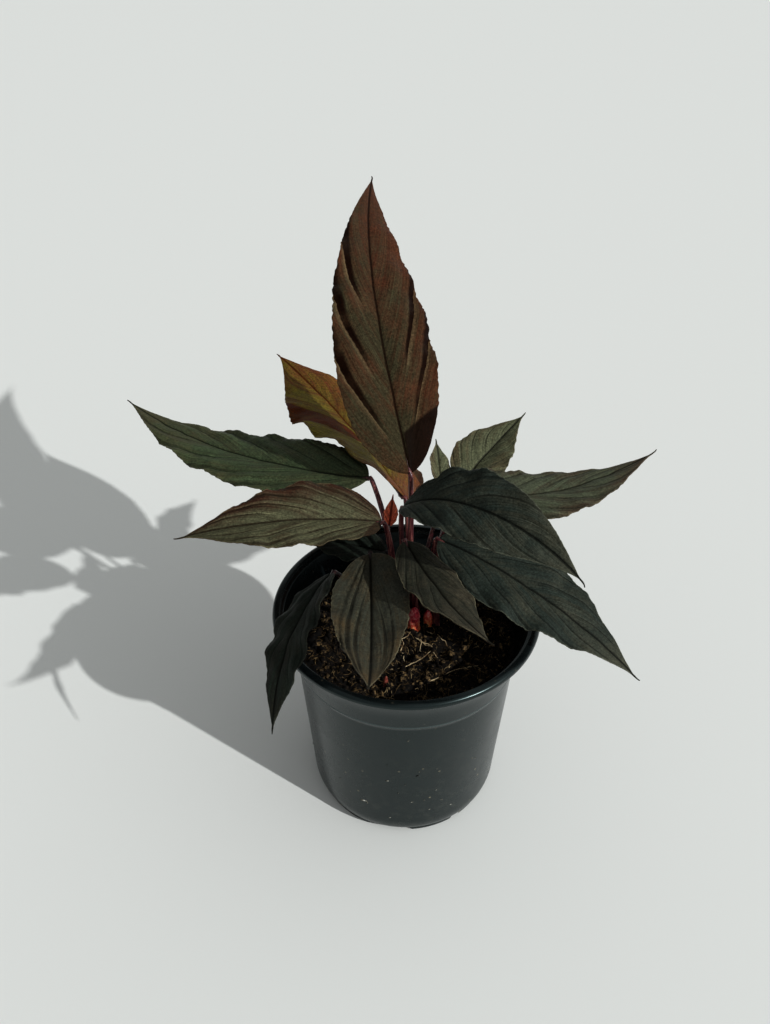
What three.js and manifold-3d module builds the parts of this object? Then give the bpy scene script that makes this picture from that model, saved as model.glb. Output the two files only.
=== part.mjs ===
// A potted Homalomena humilis: a round nursery pot filled with potting mix, and a crown of
// stalked leaves. Millimetres, +Z up. The origin is the middle of the pot's underside, and the
// front of the plant faces -Y. Angles of the leaves are in degrees: a heading of 0 points
// along +X and 90 along +Y.
import * as THREE from 'three';
import { mergeVertices } from 'three/addons/utils/BufferGeometryUtils.js';
import Module from 'manifold-3d';

const wasm = await Module();
wasm.setup();

const clearance = 0.3;

// Pot, measured from its underside
const potHeight = 108;
const rimRadius = 60;
const lipWidth = 3.2;
const lipHeight = 2.6;
const ledgeDrop = 1.6;
const ledgeWidth = 1.6;
const flareRadius = 56.6;
const lineHeight = 83.5;
const lineRadius = 50.4;
const wallFootRadius = 45.4;
const footRadius = 42.6;
const footWidth = 2.2;
const footHeight = 2.8;
const cornerHeight = 12;
const edgeRound = 0.6;
const lineSwell = 1;
const flareHollow = 0.9;
const potWall = 1.4;
const potFloor = 1.6;
const hubRadius = 8;
const hubStep = 2.4;
const footQuarters = 4;
const wideNotchAngle = 27;
const narrowNotchAngle = 5;
const wideNotchHeading = -100;
const drainRadius = 3;
const drainInset = 10;
const drainSpread = 12;
const drainSides = 12;
const potSides = 48;
const cornerSteps = 4;

// Potting mix and what stands in it
const soilLevel = 90;
const soilLumpHeight = 0.8;
const soilInset = 6;
const soilRings = 7;
const soilSides = 36;
const holeDepth = 9;
const holeSlack = 0.95;
const holeSides = 8;
const crownPlace = new THREE.Vector2(3, 7);

// Stalks and blades
const stalkBaseRadius = 1.9;
const stalkTipRadius = 1.05;
const stalkRise = 0.35;
const stalkLeanOut = 0.3;
const stalkTurn = 0.2;
const stalkSides = 7;
const stalkSteps = 9;
const stubSides = 9;
const stubSteps = 8;
const bladeThickness = 0.7;
const bladeStepLength = 8.5;
const fewestBladeSteps = 6;
const bladeStripes = 6;
const bladeBaseHalfWidth = 1.2;
const bladeTipHalfWidth = 0.35;
const baseRoundness = 0.55;
const tipTaper = 1.28;
const bulgeShare = 0.22;
const ruffleShare = 0.075;
const ruffleCalm = 0.7;
const ruffleShift = 2.1;

const potMaterial = { color: 0x1d2226, roughness: 0.42, metalness: 0 };
const soilMaterial = { color: 0x2b2019, roughness: 0.95, metalness: 0 };
const crownMaterial = { color: 0x9c3b33, roughness: 0.5, metalness: 0 };
const stalkMaterial = { color: 0x6e2f33, roughness: 0.5, metalness: 0 };
const bladeMaterial = { color: 0x39392a, roughness: 0.75, metalness: 0 };
const goldBladeMaterial = { color: 0x7c6a2c, roughness: 0.7, metalness: 0 };
const youngBladeMaterial = { color: 0x8e4238, roughness: 0.6, metalness: 0 };

// Each leaf: where its stalk leaves the mix (from the crown's middle), where the blade starts,
// the heading and rise of the midrib there, how far it droops and sweeps round to the tip, the
// bank of the blade at its base and the twist from there to the tip, the fold of each half
// upwards from the midrib, the blade's length and width, how far along it is widest, and how
// much further along that is on the blade's left side than on its right.
const leaves = [
  { name: 'tall', foot: [-1.8, 4.6], seat: [1, 15, 169], heading: 110, rise: 50, droop: 45,
    sweep: -25, bank: 0, twist: 28, fold: 2, length: 172, width: 46, widest: 0.28, skew: -0.05,
    ruffles: 7 },
  { name: 'gold', foot: [-2, 13], seat: [-1, 23, 151], heading: 111, rise: 0, droop: -8, sweep: 17,
    bank: 49, twist: -70, fold: 2, length: 134, width: 55, widest: 0.39, skew: 0.06, ruffles: 5,
    material: goldBladeMaterial },
  { name: 'left_upper', foot: [-7.4, 4.6], seat: [-17, 26, 159], heading: 163, rise: -6, droop: -4,
    sweep: -34, bank: -11, twist: 28, fold: 3, length: 153, width: 43, widest: 0.32, skew: 0.06,
    ruffles: 7 },
  { name: 'left_lower', foot: [-9.2, -0.6], seat: [-11, -2, 156], heading: 193, rise: 17, droop: 34,
    sweep: -11, bank: -15, twist: 1, fold: 17, length: 84, width: 34, widest: 0.39, skew: 0.06,
    ruffles: 5 },
  { name: 'hanging', foot: [-9.2, -6.8], seat: [-32, -9, 134], heading: 234, rise: -5, droop: 55,
    sweep: 28, bank: 36, twist: -9, fold: 4, length: 72, width: 26, widest: 0.42, skew: 0.04,
    ruffles: 5 },
  { name: 'front', foot: [-5, -6.4], seat: [-16, 0, 137], heading: 272, rise: -8, droop: -44,
    sweep: -3, bank: 12, twist: -25, fold: 14, length: 105, width: 33, widest: 0.3, skew: -0.04,
    ruffles: 4 },
  { name: 'front_right', foot: [2.9, -0.4], seat: [-1, -5, 148], heading: 293, rise: -10, droop: -23,
    sweep: 6, bank: 0, twist: -29, fold: 2, length: 69, width: 25, widest: 0.44, skew: 0.02,
    ruffles: 4 },
  { name: 'right_lower', foot: [11.6, -1.4], seat: [14, 9, 138], heading: 330, rise: -5, droop: 34,
    sweep: 2, bank: 15, twist: -9, fold: 7, length: 103, width: 40, widest: 0.37, skew: -0.01,
    ruffles: 5 },
  { name: 'right_arched', foot: [-1.2, 0.6], seat: [-2, 7, 157], heading: 313, rise: 47, droop: 88,
    sweep: 17, bank: 15, twist: 36, fold: 11, length: 94, width: 31, widest: 0.45, skew: -0.03,
    ruffles: 5 },
  { name: 'right_upper', foot: [7, 4.4], seat: [24, 15, 157], heading: 20, rise: -19, droop: -27,
    sweep: 15, bank: 14, twist: -32, fold: 4, length: 109, width: 37, widest: 0.3, skew: -0.08,
    ruffles: 6 },
  { name: 'back_right', foot: [5.4, 10], seat: [26, 46, 142], heading: 52, rise: 17, droop: -9,
    sweep: -13, bank: 10, twist: -15, fold: 14, length: 48, width: 29, widest: 0.36, skew: 0,
    ruffles: 4 },
  { name: 'back_low', foot: [-5.4, 9.4], seat: [-9, 32, 112], heading: 172, rise: 10, droop: 8,
    sweep: 0, bank: -8, twist: 0, fold: 8, length: 42, width: 23, widest: 0.4, skew: 0,
    ruffles: 4 },
  { name: 'back_middle', foot: [2, 16.4], seat: [16.6, 43, 142], heading: 95, rise: 30, droop: 4,
    sweep: 0, bank: 30, twist: 0, fold: 12, length: 24, width: 12, widest: 0.42, skew: 0,
    ruffles: 3 },
  { name: 'young', foot: [-5.4, 0.8], seat: [-7.8, 8.6, 146], heading: 75, rise: 64, droop: 6,
    sweep: 0, bank: 20, twist: 0, fold: 16, length: 12.5, width: 6.4, widest: 0.42, skew: 0,
    ruffles: 2, material: youngBladeMaterial },
];

// Stubs of the creeping stem that show above the mix: where they stand from the crown's middle,
// their radius, their height above the mix and how far they lean.
const stubs = [
  { name: 'crown_main', place: [0.4, -5.6], radius: 3, height: 14, lean: [0.4, 0.4] },
  { name: 'crown_side', place: [7, -2.2], radius: 2.3, height: 9, lean: [0.3, 0.4] },
  { name: 'sprout', place: [-12.6, -39.6], radius: 1.2, height: 6, lean: [0.4, 0.2] },
];

const radians = THREE.MathUtils.degToRad;

function makeMesh(name, geometry, look) {
  const mesh = new THREE.Mesh(geometry, new THREE.MeshStandardMaterial(look));
  mesh.name = name;
  return mesh;
}

function bareGeometry(geometry) {
  geometry.deleteAttribute('normal');
  geometry.deleteAttribute('uv');
  return mergeVertices(geometry, 1e-4);
}

function toSolid(geometry) {
  const bare = bareGeometry(geometry);
  return new wasm.Manifold(new wasm.Mesh({
    numProp: 3,
    vertProperties: new Float32Array(bare.attributes.position.array),
    triVerts: new Uint32Array(bare.index.array),
  }));
}

function fromSolid(solid) {
  const mesh = solid.getMesh();
  const geometry = new THREE.BufferGeometry();
  geometry.setAttribute('position', new THREE.BufferAttribute(new Float32Array(mesh.vertProperties), 3));
  geometry.setIndex(new THREE.BufferAttribute(new Uint32Array(mesh.triVerts), 1));
  return geometry;
}

// A profile of [radius, height] points turned round the Z axis.
function turned(profile, sides) {
  const points = profile.map(([radius, height]) => new THREE.Vector2(radius, height));
  return new THREE.LatheGeometry(points, sides).rotateX(Math.PI / 2);
}

// Rounded rows of points closed into one skin: each row is a ring, and the ends are fans.
function skinFromRings(rings) {
  const sides = rings[0].length;
  const positions = rings.flat().flatMap((point) => point.toArray());
  const indices = [];
  for (let row = 0; row < rings.length - 1; row += 1) {
    for (let side = 0; side < sides; side += 1) {
      const next = (side + 1) % sides;
      const a = row * sides + side;
      const b = row * sides + next;
      indices.push(a, b, b + sides, a, b + sides, a + sides);
    }
  }
  const last = (rings.length - 1) * sides;
  for (let side = 1; side < sides - 1; side += 1) {
    indices.push(0, side + 1, side);
    indices.push(last, last + side, last + side + 1);
  }
  const geometry = new THREE.BufferGeometry();
  geometry.setAttribute('position', new THREE.Float32BufferAttribute(positions, 3));
  geometry.setIndex(indices);
  return geometry;
}

// A tapered round tube along a curve. The radius is a function of the share of the way along.
function taperedTube(curve, radiusAt, steps, sides) {
  const frames = curve.computeFrenetFrames(steps, false);
  const rings = [];
  for (let step = 0; step <= steps; step += 1) {
    const along = step / steps;
    const middle = curve.getPointAt(along);
    const ring = [];
    for (let side = 0; side < sides; side += 1) {
      const turn = (2 * Math.PI * side) / sides;
      const radius = radiusAt(along);
      ring.push(middle.clone()
        .addScaledVector(frames.normals[step], radius * Math.cos(turn))
        .addScaledVector(frames.binormals[step], radius * Math.sin(turn)));
    }
    rings.push(ring);
  }
  return skinFromRings(rings);
}

// Section of the pot, up the outside and down the inside: hub and foot ring, rounded corner,
// tapered wall, raised line, flare, lip with a ledge inside it.
function potProfile() {
  const lipFoot = potHeight - lipHeight;
  const ledge = potHeight - ledgeDrop;
  const flareHeight = (lineHeight + lipFoot) / 2 + lineSwell;
  const flareMiddle = (lineRadius + flareRadius) / 2 - flareHollow;
  const lipInside = rimRadius - lipWidth;
  const footInside = footRadius - footWidth;
  const corner = [];
  for (let step = 0; step <= cornerSteps; step += 1) {
    const turn = (Math.PI / 2) * (step / cornerSteps);
    corner.push([
      footRadius + (wallFootRadius - footRadius) * Math.sin(turn),
      footHeight + (cornerHeight - footHeight) * (1 - Math.cos(turn)),
    ]);
  }
  const outside = [
    [0, 0], [hubRadius, 0], [hubRadius, hubStep], [footInside, hubStep],
    [footInside, 0], [footRadius - edgeRound, 0], ...corner,
    [lineRadius, lineHeight], [lineRadius + lineSwell, lineHeight + edgeRound],
    [lineRadius + lineSwell, lineHeight + 2 * edgeRound], [flareMiddle, flareHeight],
    [flareRadius, lipFoot], [rimRadius - edgeRound, lipFoot], [rimRadius, lipFoot + edgeRound],
    [rimRadius, potHeight - edgeRound], [rimRadius - edgeRound, potHeight],
  ];
  const inside = [
    [lipInside, potHeight], [lipInside, ledge], [lipInside - ledgeWidth, ledge - edgeRound],
    [flareMiddle - potWall, flareHeight], [lineRadius - potWall, lineHeight],
    [wallFootRadius - potWall, cornerHeight], [footInside, footHeight + potFloor + potWall],
    [footInside - potWall, footHeight + potFloor], [0, footHeight + potFloor],
  ];
  return [...outside, ...inside];
}

// A ring-shaped wedge that cuts a notch through the foot ring.
function notchCutter(heading, angle) {
  const inner = footRadius - footWidth - 1;
  const outer = footRadius + cornerHeight;
  const shape = new THREE.Shape();
  shape.absarc(0, 0, outer, radians(heading - angle / 2), radians(heading + angle / 2), false);
  shape.absarc(0, 0, inner, radians(heading + angle / 2), radians(heading - angle / 2), true);
  shape.closePath();
  const geometry = new THREE.ExtrudeGeometry(shape, {
    depth: 2 * footHeight, bevelEnabled: false, curveSegments: 5,
  });
  return toSolid(geometry.translate(0, 0, -footHeight));
}

function drainCutter(turn) {
  const distance = footRadius - drainInset;
  const geometry = new THREE.CylinderGeometry(drainRadius, drainRadius, 4 * footHeight, drainSides);
  geometry.rotateX(Math.PI / 2);
  return toSolid(geometry.translate(distance * Math.cos(turn), distance * Math.sin(turn), footHeight));
}

// The pot: each quarter has a wide and a narrow notch in the foot ring and two drain holes.
function makePot() {
  let pot = toSolid(turned(potProfile(), potSides));
  for (let quarter = 0; quarter < footQuarters; quarter += 1) {
    const heading = wideNotchHeading + (360 / footQuarters) * quarter;
    pot = pot.subtract(notchCutter(heading, wideNotchAngle));
    pot = pot.subtract(notchCutter(heading + 180 / footQuarters, narrowNotchAngle));
    pot = pot.subtract(drainCutter(radians(heading - drainSpread)));
    pot = pot.subtract(drainCutter(radians(heading + drainSpread)));
  }
  return makeMesh('pot', fromSolid(pot), potMaterial);
}

// Height of the lumps on the potting mix at a place: a few crossed waves that die at the wall.
function soilLumps(x, y) {
  const waves = Math.sin(0.21 * x + 1.3) * Math.cos(0.17 * y - 0.4)
    + 0.6 * Math.sin(0.43 * x - 0.31 * y) + 0.5 * Math.cos(0.37 * y + 0.24 * x + 2);
  return soilLumpHeight * waves;
}

// Radius of the mix at a height inside the tapered wall.
function soilRadius(height) {
  const share = (height - cornerHeight) / (lineHeight - cornerHeight);
  const inside = wallFootRadius - potWall + share * (lineRadius - wallFootRadius);
  return inside - 1.3 * clearance;
}

// The mix fills the pot up to its level, and its lumpy top has a hole for every stalk and stub.
function makeSoil(holes) {
  const bottom = footHeight + potFloor + clearance;
  const edge = soilRadius(lineHeight);
  const profile = [[0, bottom], [footRadius - soilInset, bottom],
    [soilRadius(cornerHeight), cornerHeight], [edge, lineHeight], [edge + clearance, soilLevel]];
  for (let ring = soilRings - 1; ring >= 0; ring -= 1) {
    profile.push([(edge * ring) / soilRings, soilLevel]);
  }
  const geometry = turned(profile, soilSides);
  const position = geometry.attributes.position;
  for (let i = 0; i < position.count; i += 1) {
    const x = position.getX(i);
    const y = position.getY(i);
    const fromWall = 1 - Math.min(1, Math.hypot(x, y) / edge);
    if (position.getZ(i) > soilLevel - 1) {
      position.setZ(i, soilLevel + soilLumps(x, y) * Math.min(1, 4 * fromWall));
    }
  }
  let soil = toSolid(geometry);
  for (const hole of holes) {
    soil = soil.subtract(hole);
  }
  return makeMesh('potting_mix', fromSolid(soil), soilMaterial);
}

// A plain round hole in the mix for a stalk or stub that stands at x, y.
function holeAt(x, y, radius) {
  const height = 2 * holeDepth;
  const geometry = new THREE.CylinderGeometry(radius, radius, height, holeSides);
  return toSolid(geometry.rotateX(Math.PI / 2).translate(x, y, soilLevel));
}

// Unit vectors at a share of the way along a leaf's midrib: forwards, across and up.
function leafFrame(leaf, along) {
  const heading = radians(leaf.heading + leaf.sweep * along);
  const rise = radians(leaf.rise - leaf.droop * along);
  const forward = new THREE.Vector3(
    Math.cos(heading) * Math.cos(rise),
    Math.sin(heading) * Math.cos(rise),
    Math.sin(rise),
  );
  const level = new THREE.Vector3(-Math.sin(heading), Math.cos(heading), 0);
  const upright = new THREE.Vector3().crossVectors(forward, level);
  const bank = radians(leaf.bank + leaf.twist * along);
  const across = level.clone().multiplyScalar(Math.cos(bank)).addScaledVector(upright, Math.sin(bank));
  const up = upright.clone().multiplyScalar(Math.cos(bank)).addScaledVector(level, -Math.sin(bank));
  return { forward, across, up };
}

// Half of the blade's width at a share of its length: a rounded base and a drawn-out tip.
function halfWidthAt(leaf, along, side) {
  const widest = leaf.widest + leaf.skew * Math.sign(side);
  const before = (widest - along) / widest;
  const after = (along - widest) / (1 - widest);
  const share = along < widest
    ? (1 - before ** 2) ** baseRoundness
    : Math.cos((Math.PI / 2) * after) ** tipTaper;
  const least = bladeBaseHalfWidth + (bladeTipHalfWidth - bladeBaseHalfWidth) * along;
  return Math.max((leaf.width / 2) * share, least);
}

// Height of a blade's surface above its folded plane: each half is bulged, and its edge ruffled.
function reliefAt(leaf, along, side, halfWidth) {
  const out = Math.abs(side);
  const bulge = bulgeShare * halfWidth * out * (1 - out);
  const phase = side < 0 ? ruffleShift : 0;
  const calm = Math.sin(Math.PI * along) ** ruffleCalm;
  const ruffle = ruffleShare * halfWidth * out ** 2 * calm;
  return bulge + ruffle * Math.sin(2 * Math.PI * leaf.ruffles * along + phase);
}

// The blade: rows across the midrib, with the same triangles on its upper and lower faces.
function makeBlade(leaf) {
  const rows = [];
  const bladeSteps = fewestBladeSteps + Math.round(leaf.length / bladeStepLength);
  const step = leaf.length / bladeSteps;
  const middle = new THREE.Vector3(...leaf.seat);
  for (let row = 0; row <= bladeSteps; row += 1) {
    const along = row / bladeSteps;
    const { across, up } = leafFrame(leaf, along);
    const fold = radians(leaf.fold);
    const upper = [];
    const lower = [];
    for (let stripe = 0; stripe <= bladeStripes; stripe += 1) {
      const side = (2 * stripe) / bladeStripes - 1;
      const halfWidth = halfWidthAt(leaf, along, side);
      const lift = halfWidth * Math.abs(side) * Math.sin(fold) + reliefAt(leaf, along, side, halfWidth);
      const point = middle.clone()
        .addScaledVector(across, halfWidth * side * Math.cos(fold))
        .addScaledVector(up, lift);
      upper.push(point.clone().addScaledVector(up, bladeThickness / 2));
      lower.push(point.clone().addScaledVector(up, -bladeThickness / 2));
    }
    rows.push({ upper, lower });
    const next = leafFrame(leaf, along + 0.5 / bladeSteps);
    middle.addScaledVector(next.forward, step);
  }
  return bladeSkin(rows);
}

// Both faces, the rim and the two ends of a blade as one closed skin.
function bladeSkin(rows) {
  const across = bladeStripes + 1;
  const positions = [];
  for (const row of rows) {
    for (const point of [...row.upper, ...row.lower]) {
      positions.push(point.x, point.y, point.z);
    }
  }
  const indices = [];
  const stride = 2 * across;
  const last = (rows.length - 1) * stride;
  for (let row = 0; row < rows.length - 1; row += 1) {
    const a = row * stride;
    const b = a + stride;
    for (let i = 0; i < bladeStripes; i += 1) {
      indices.push(a + i, b + i, b + i + 1, a + i, b + i + 1, a + i + 1);
      const c = a + across + i;
      const d = b + across + i;
      indices.push(c, d + 1, d, c, c + 1, d + 1);
    }
    const edge = bladeStripes;
    indices.push(a, a + across, b + across, a, b + across, b);
    indices.push(a + edge, b + edge, b + across + edge, a + edge, b + across + edge, a + across + edge);
  }
  for (let i = 0; i < bladeStripes; i += 1) {
    indices.push(i, i + 1, across + i + 1, i, across + i + 1, across + i);
    const e = last + i;
    indices.push(e, e + across + 1, e + 1, e, e + across, e + across + 1);
  }
  const geometry = new THREE.BufferGeometry();
  geometry.setAttribute('position', new THREE.Float32BufferAttribute(positions, 3));
  geometry.setIndex(indices);
  return geometry;
}

// The stalk rises out of the mix, leans over and ends just short of its blade.
function makeStalk(leaf) {
  const foot = new THREE.Vector3(
    crownPlace.x + leaf.foot[0],
    crownPlace.y + leaf.foot[1],
    soilLevel - holeDepth + clearance,
  );
  const seat = new THREE.Vector3(...leaf.seat);
  const reach = seat.distanceTo(foot);
  const straight = seat.clone().sub(foot).normalize();
  const { forward } = leafFrame(leaf, 0);
  const arrive = straight.lerp(forward, stalkTurn).normalize();
  const bend = arrive.angleTo(forward);
  const end = seat.clone().addScaledVector(forward, -clearance - stalkTipRadius * Math.sin(bend));
  const rise = Math.max(reach * stalkRise, holeDepth + 7);
  const curve = new THREE.CubicBezierCurve3(
    foot,
    foot.clone().add(new THREE.Vector3(0, 0, rise)),
    end.clone().addScaledVector(arrive, -reach * stalkLeanOut),
    end,
  );
  const radiusAt = (along) => stalkBaseRadius + (stalkTipRadius - stalkBaseRadius) * Math.sqrt(along);
  return taperedTube(curve, radiusAt, stalkSteps, stalkSides);
}

// A stub of the creeping stem: slightly swollen rings and, over its last third, a rounded top.
function makeStub(stub) {
  const x = crownPlace.x + stub.place[0];
  const y = crownPlace.y + stub.place[1];
  const base = soilLevel - holeDepth + clearance;
  const top = soilLevel + stub.height;
  const curve = new THREE.LineCurve3(
    new THREE.Vector3(x, y, base),
    new THREE.Vector3(x + stub.lean[0], y + stub.lean[1], top),
  );
  const radiusAt = (along) => {
    const upDome = Math.max(0, 3 * along - 2);
    const dome = Math.sqrt(Math.max(1 - upDome ** 2, 0.05));
    return stub.radius * dome * (0.94 + 0.06 * Math.cos(14 * along));
  };
  return taperedTube(curve, radiusAt, stubSteps, stubSides);
}

const plant = new THREE.Group();
plant.add(makePot());
const holes = [];
for (const stub of stubs) {
  plant.add(makeMesh(stub.name, makeStub(stub), crownMaterial));
  holes.push(holeAt(crownPlace.x + stub.place[0], crownPlace.y + stub.place[1], stub.radius + holeSlack));
}
for (const leaf of leaves) {
  plant.add(makeMesh(`blade_${leaf.name}`, makeBlade(leaf), leaf.material ?? bladeMaterial));
  plant.add(makeMesh(`stalk_${leaf.name}`, makeStalk(leaf), stalkMaterial));
  holes.push(holeAt(crownPlace.x + leaf.foot[0], crownPlace.y + leaf.foot[1], stalkBaseRadius + holeSlack));
}
plant.add(makeSoil(holes));

export default plant;
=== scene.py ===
import math
from functools import partial

import bpy
import numpy as np
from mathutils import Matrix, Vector


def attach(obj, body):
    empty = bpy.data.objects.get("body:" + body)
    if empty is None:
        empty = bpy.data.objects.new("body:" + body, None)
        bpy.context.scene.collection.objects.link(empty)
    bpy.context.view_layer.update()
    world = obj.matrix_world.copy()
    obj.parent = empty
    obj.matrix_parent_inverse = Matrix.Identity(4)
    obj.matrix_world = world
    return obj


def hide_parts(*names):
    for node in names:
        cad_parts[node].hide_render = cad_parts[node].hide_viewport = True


# Looks for the potted Homalomena humilis. Shapes are worked out in millimetres, in the frame of
# the CAD (origin under the middle of the pot, +Z up, front towards -Y), and become metres in
# makeMesh. Leaf angles are in degrees: a heading of 0 points along +X and 90 along +Y.
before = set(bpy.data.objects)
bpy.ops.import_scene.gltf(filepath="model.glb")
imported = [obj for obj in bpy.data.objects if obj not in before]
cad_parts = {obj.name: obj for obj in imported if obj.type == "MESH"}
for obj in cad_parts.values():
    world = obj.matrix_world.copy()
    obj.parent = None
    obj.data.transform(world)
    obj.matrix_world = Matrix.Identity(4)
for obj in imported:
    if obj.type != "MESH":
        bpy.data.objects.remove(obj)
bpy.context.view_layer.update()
print("frame loaded:", len(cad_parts), "nodes")

mm = 0.001
crownFoot = np.array([3, 7, 81.3])  # middle of the crown, 9 mm down in the mix


def linearColour(hexColour):
    # sRGB hex to linear light: a low channel is divided by 12.92, any other is raised to 2.4
    channels = [int(hexColour[i:i + 2], 16) / 255 for i in (1, 3, 5)]
    return tuple(c / 12.92 if c <= 0.04045 else ((c + 0.055) / 1.055) ** 2.4 for c in channels) + (1.0,)


def smoothStep(low, high, value):
    # 0 below low, 1 above high, and an S-curve 3s^2 - 2s^3 between them
    share = np.clip((value - low) / (high - low), 0, 1)
    return share * share * (3 - 2 * share)


def softNoise(x, y, seed, z=0.0):
    # Value noise from -1 to 1: each lattice point gets a fixed random value from a hash of its
    # three whole coordinates, and the eight round a place are blended with S-curve weights
    axes = np.broadcast_arrays(*(np.asarray(axis, float) for axis in (x, y, z)))
    cell = [np.floor(axis) for axis in axes]
    blend = [smoothStep(0, 1, axis - whole) for axis, whole in zip(axes, cell)]
    total = 0
    for dx, dy, dz in np.ndindex(2, 2, 2):
        mixed = (cell[0] + dx) * 127.1 + (cell[1] + dy) * 311.7 + (cell[2] + dz) * 74.7 + seed * 19.19
        hashed = np.sin(mixed) * 43758.5453
        value = 2 * (hashed - np.floor(hashed)) - 1
        weight = (blend[0] if dx else 1 - blend[0]) * (blend[1] if dy else 1 - blend[1])
        total = total + weight * (blend[2] if dz else 1 - blend[2]) * value
    return total


def unit(vectors):
    return vectors / np.linalg.norm(vectors, axis=-1, keepdims=True)


def polar(radius, turn):
    return radius * np.cos(turn), radius * np.sin(turn)


def circlePoints(radius, turn, height):
    # Points (radius cos a, radius sin a, height), with the three broadcast against one another
    return np.stack(np.broadcast_arrays(*polar(radius, turn), height), axis=-1)


def gridQuads(rows, columns, closed=True):
    # Quads between neighbouring rows of a grid of points, wrapped round when the rows are rings
    columnStarts = np.arange(columns if closed else columns - 1)
    row, column = np.meshgrid(np.arange(rows - 1) * columns, columnStarts, indexing="ij")
    after = (column + 1) % columns
    quads = np.stack([row + column, row + columns + column, row + columns + after, row + after], axis=-1)
    return quads.reshape(-1, 4)


def closedRings(rings, sides, flipped=False):
    # Faces over rings of points with two poles listed after them: quads between the rings and a fan
    # of triangles from each pole to the ring next to it. flipped turns every face over.
    side = np.arange(sides)
    after = (side + 1) % sides
    last = (rings - 1) * sides
    pole = np.full(sides, rings * sides)
    fans = np.concatenate([np.stack([pole, side, after], axis=-1),
                           np.stack([pole + 1, last + after, last + side], axis=-1)])
    quads = gridQuads(rings, sides)
    return (quads[:, ::-1], fans[:, [0, 2, 1]]) if flipped else (quads, fans)


def repeatFaces(faces, copies, stride):
    # The same faces once for each copy of a shape that has stride points
    return (np.arange(copies)[:, None, None] * stride + faces).reshape(-1, faces.shape[-1])


def closedTubes(paths, radii, sides, reference):
    # Round tubes along many paths at once. paths is (tube, step, xyz) and radii (tube, step); a
    # ring's point is path + radius * (normal * cos a + binormal * sin a), where normal is the
    # reference direction with its part along the path taken off. A point closes each end.
    tubes, steps, _ = paths.shape
    tangent = unit(np.gradient(paths, axis=1))
    reference = np.broadcast_to(np.asarray(reference, float), paths.shape)
    normal = unit(reference - (reference * tangent).sum(-1, keepdims=True) * tangent)
    binormal = np.cross(tangent, normal)
    turn = 2 * np.pi * np.arange(sides) / sides
    ring = normal[:, :, None] * np.cos(turn)[:, None] + binormal[:, :, None] * np.sin(turn)[:, None]
    rings = paths[:, :, None] + ring * np.asarray(radii)[:, :, None, None]
    points = np.concatenate([rings.reshape(tubes, -1, 3), paths[:, :1], paths[:, -1:]], axis=1)
    faces = [repeatFaces(part, tubes, points.shape[1]) for part in closedRings(steps, sides, flipped=True)]
    return points.reshape(-1, 3), *faces


def roughTube(path, radius, sides, reference, seed, depth, across, upward):
    # One closed tube with its radius times 1 + depth * value noise, whose cells are across wide and
    # upward high
    points, quads, fans = closedTubes(path[None], radius[None], sides, reference)
    middle = np.vstack([np.repeat(path, sides, axis=0), path[:1], path[-1:]])
    lumps = 1 + depth * softNoise(points[:, 0] / across, points[:, 1] / across, seed, points[:, 2] / upward)
    return middle + (points - middle) * lumps[:, None], quads, fans


def makeMesh(name, points, quads, triangles=np.zeros((0, 3), int), uv=None, values=None):
    # One mesh from arrays: points in mm, four-cornered and three-cornered faces, a UV for each
    # point and named values for each point
    corners = np.concatenate([quads.ravel(), triangles.ravel()]).astype(np.int32)
    starts = np.concatenate([4 * np.arange(len(quads)), 4 * len(quads) + 3 * np.arange(len(triangles))])
    mesh = bpy.data.meshes.new(name)
    mesh.vertices.add(len(points))
    mesh.vertices.foreach_set("co", (np.asarray(points, float) * mm).astype(np.float32).ravel())
    mesh.loops.add(len(corners))
    mesh.loops.foreach_set("vertex_index", corners)
    mesh.polygons.add(len(starts))
    mesh.polygons.foreach_set("loop_start", starts.astype(np.int32))
    mesh.polygons.foreach_set("use_smooth", np.ones(len(starts), bool))
    if uv is not None:
        layer = mesh.uv_layers.new(name="surface")
        layer.data.foreach_set("uv", np.asarray(uv, np.float32)[corners].ravel())
    for label, numbers in (values or {}).items():
        attribute = mesh.attributes.new(label, "FLOAT", "POINT")
        attribute.data.foreach_set("value", np.asarray(numbers, np.float32).ravel())
    mesh.update(calc_edges=True)
    mesh.validate()
    piece = bpy.data.objects.new(name, mesh)
    bpy.context.scene.collection.objects.link(piece)
    return piece


def placePiece(piece, material, slotName, *nodes):
    # Gives a piece its material, lets it ride on the one body and hides the CAD nodes it stands for
    piece.data.materials.clear()
    piece.data.materials.append(material)
    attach(piece, "root")
    if nodes:
        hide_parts(*nodes)


def addNode(tree, kind, settings=None):
    # One shader node. A setting is a property of the node or what goes into one of its sockets: a
    # value, an sRGB hex colour, or another node or output to link. "ramp" holds the stops of a
    # colour ramp. In a Map Range, sockets 1 to 4 are from low, from high, to low and to high; in a
    # colour Mix, 0 is the share and 6 and 7 are the two colours.
    node = tree.nodes.new("ShaderNode" + kind)
    for key, value in (settings or {}).items():
        if key == "ramp":
            stops = node.color_ramp.elements
            while len(stops) < len(value):
                stops.new(0.5)
            for stop, (position, colour) in zip(stops, value):
                stop.position = position
                stop.color = linearColour(colour)
        elif isinstance(value, bpy.types.NodeSocket):
            tree.links.new(value, node.inputs[key])
        elif isinstance(value, bpy.types.Node):
            tree.links.new(next(output for output in value.outputs if output.enabled), node.inputs[key])
        elif isinstance(key, str) and hasattr(node, key):
            setattr(node, key, value)
        else:
            node.inputs[key].default_value = linearColour(value) if isinstance(value, str) else value
    return node


def startMaterial(name):
    # An empty material, and the function that adds a node to it
    material = bpy.data.materials.new(name)
    material.use_nodes = True
    material.node_tree.nodes.clear()
    return material, partial(addNode, material.node_tree)
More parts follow.
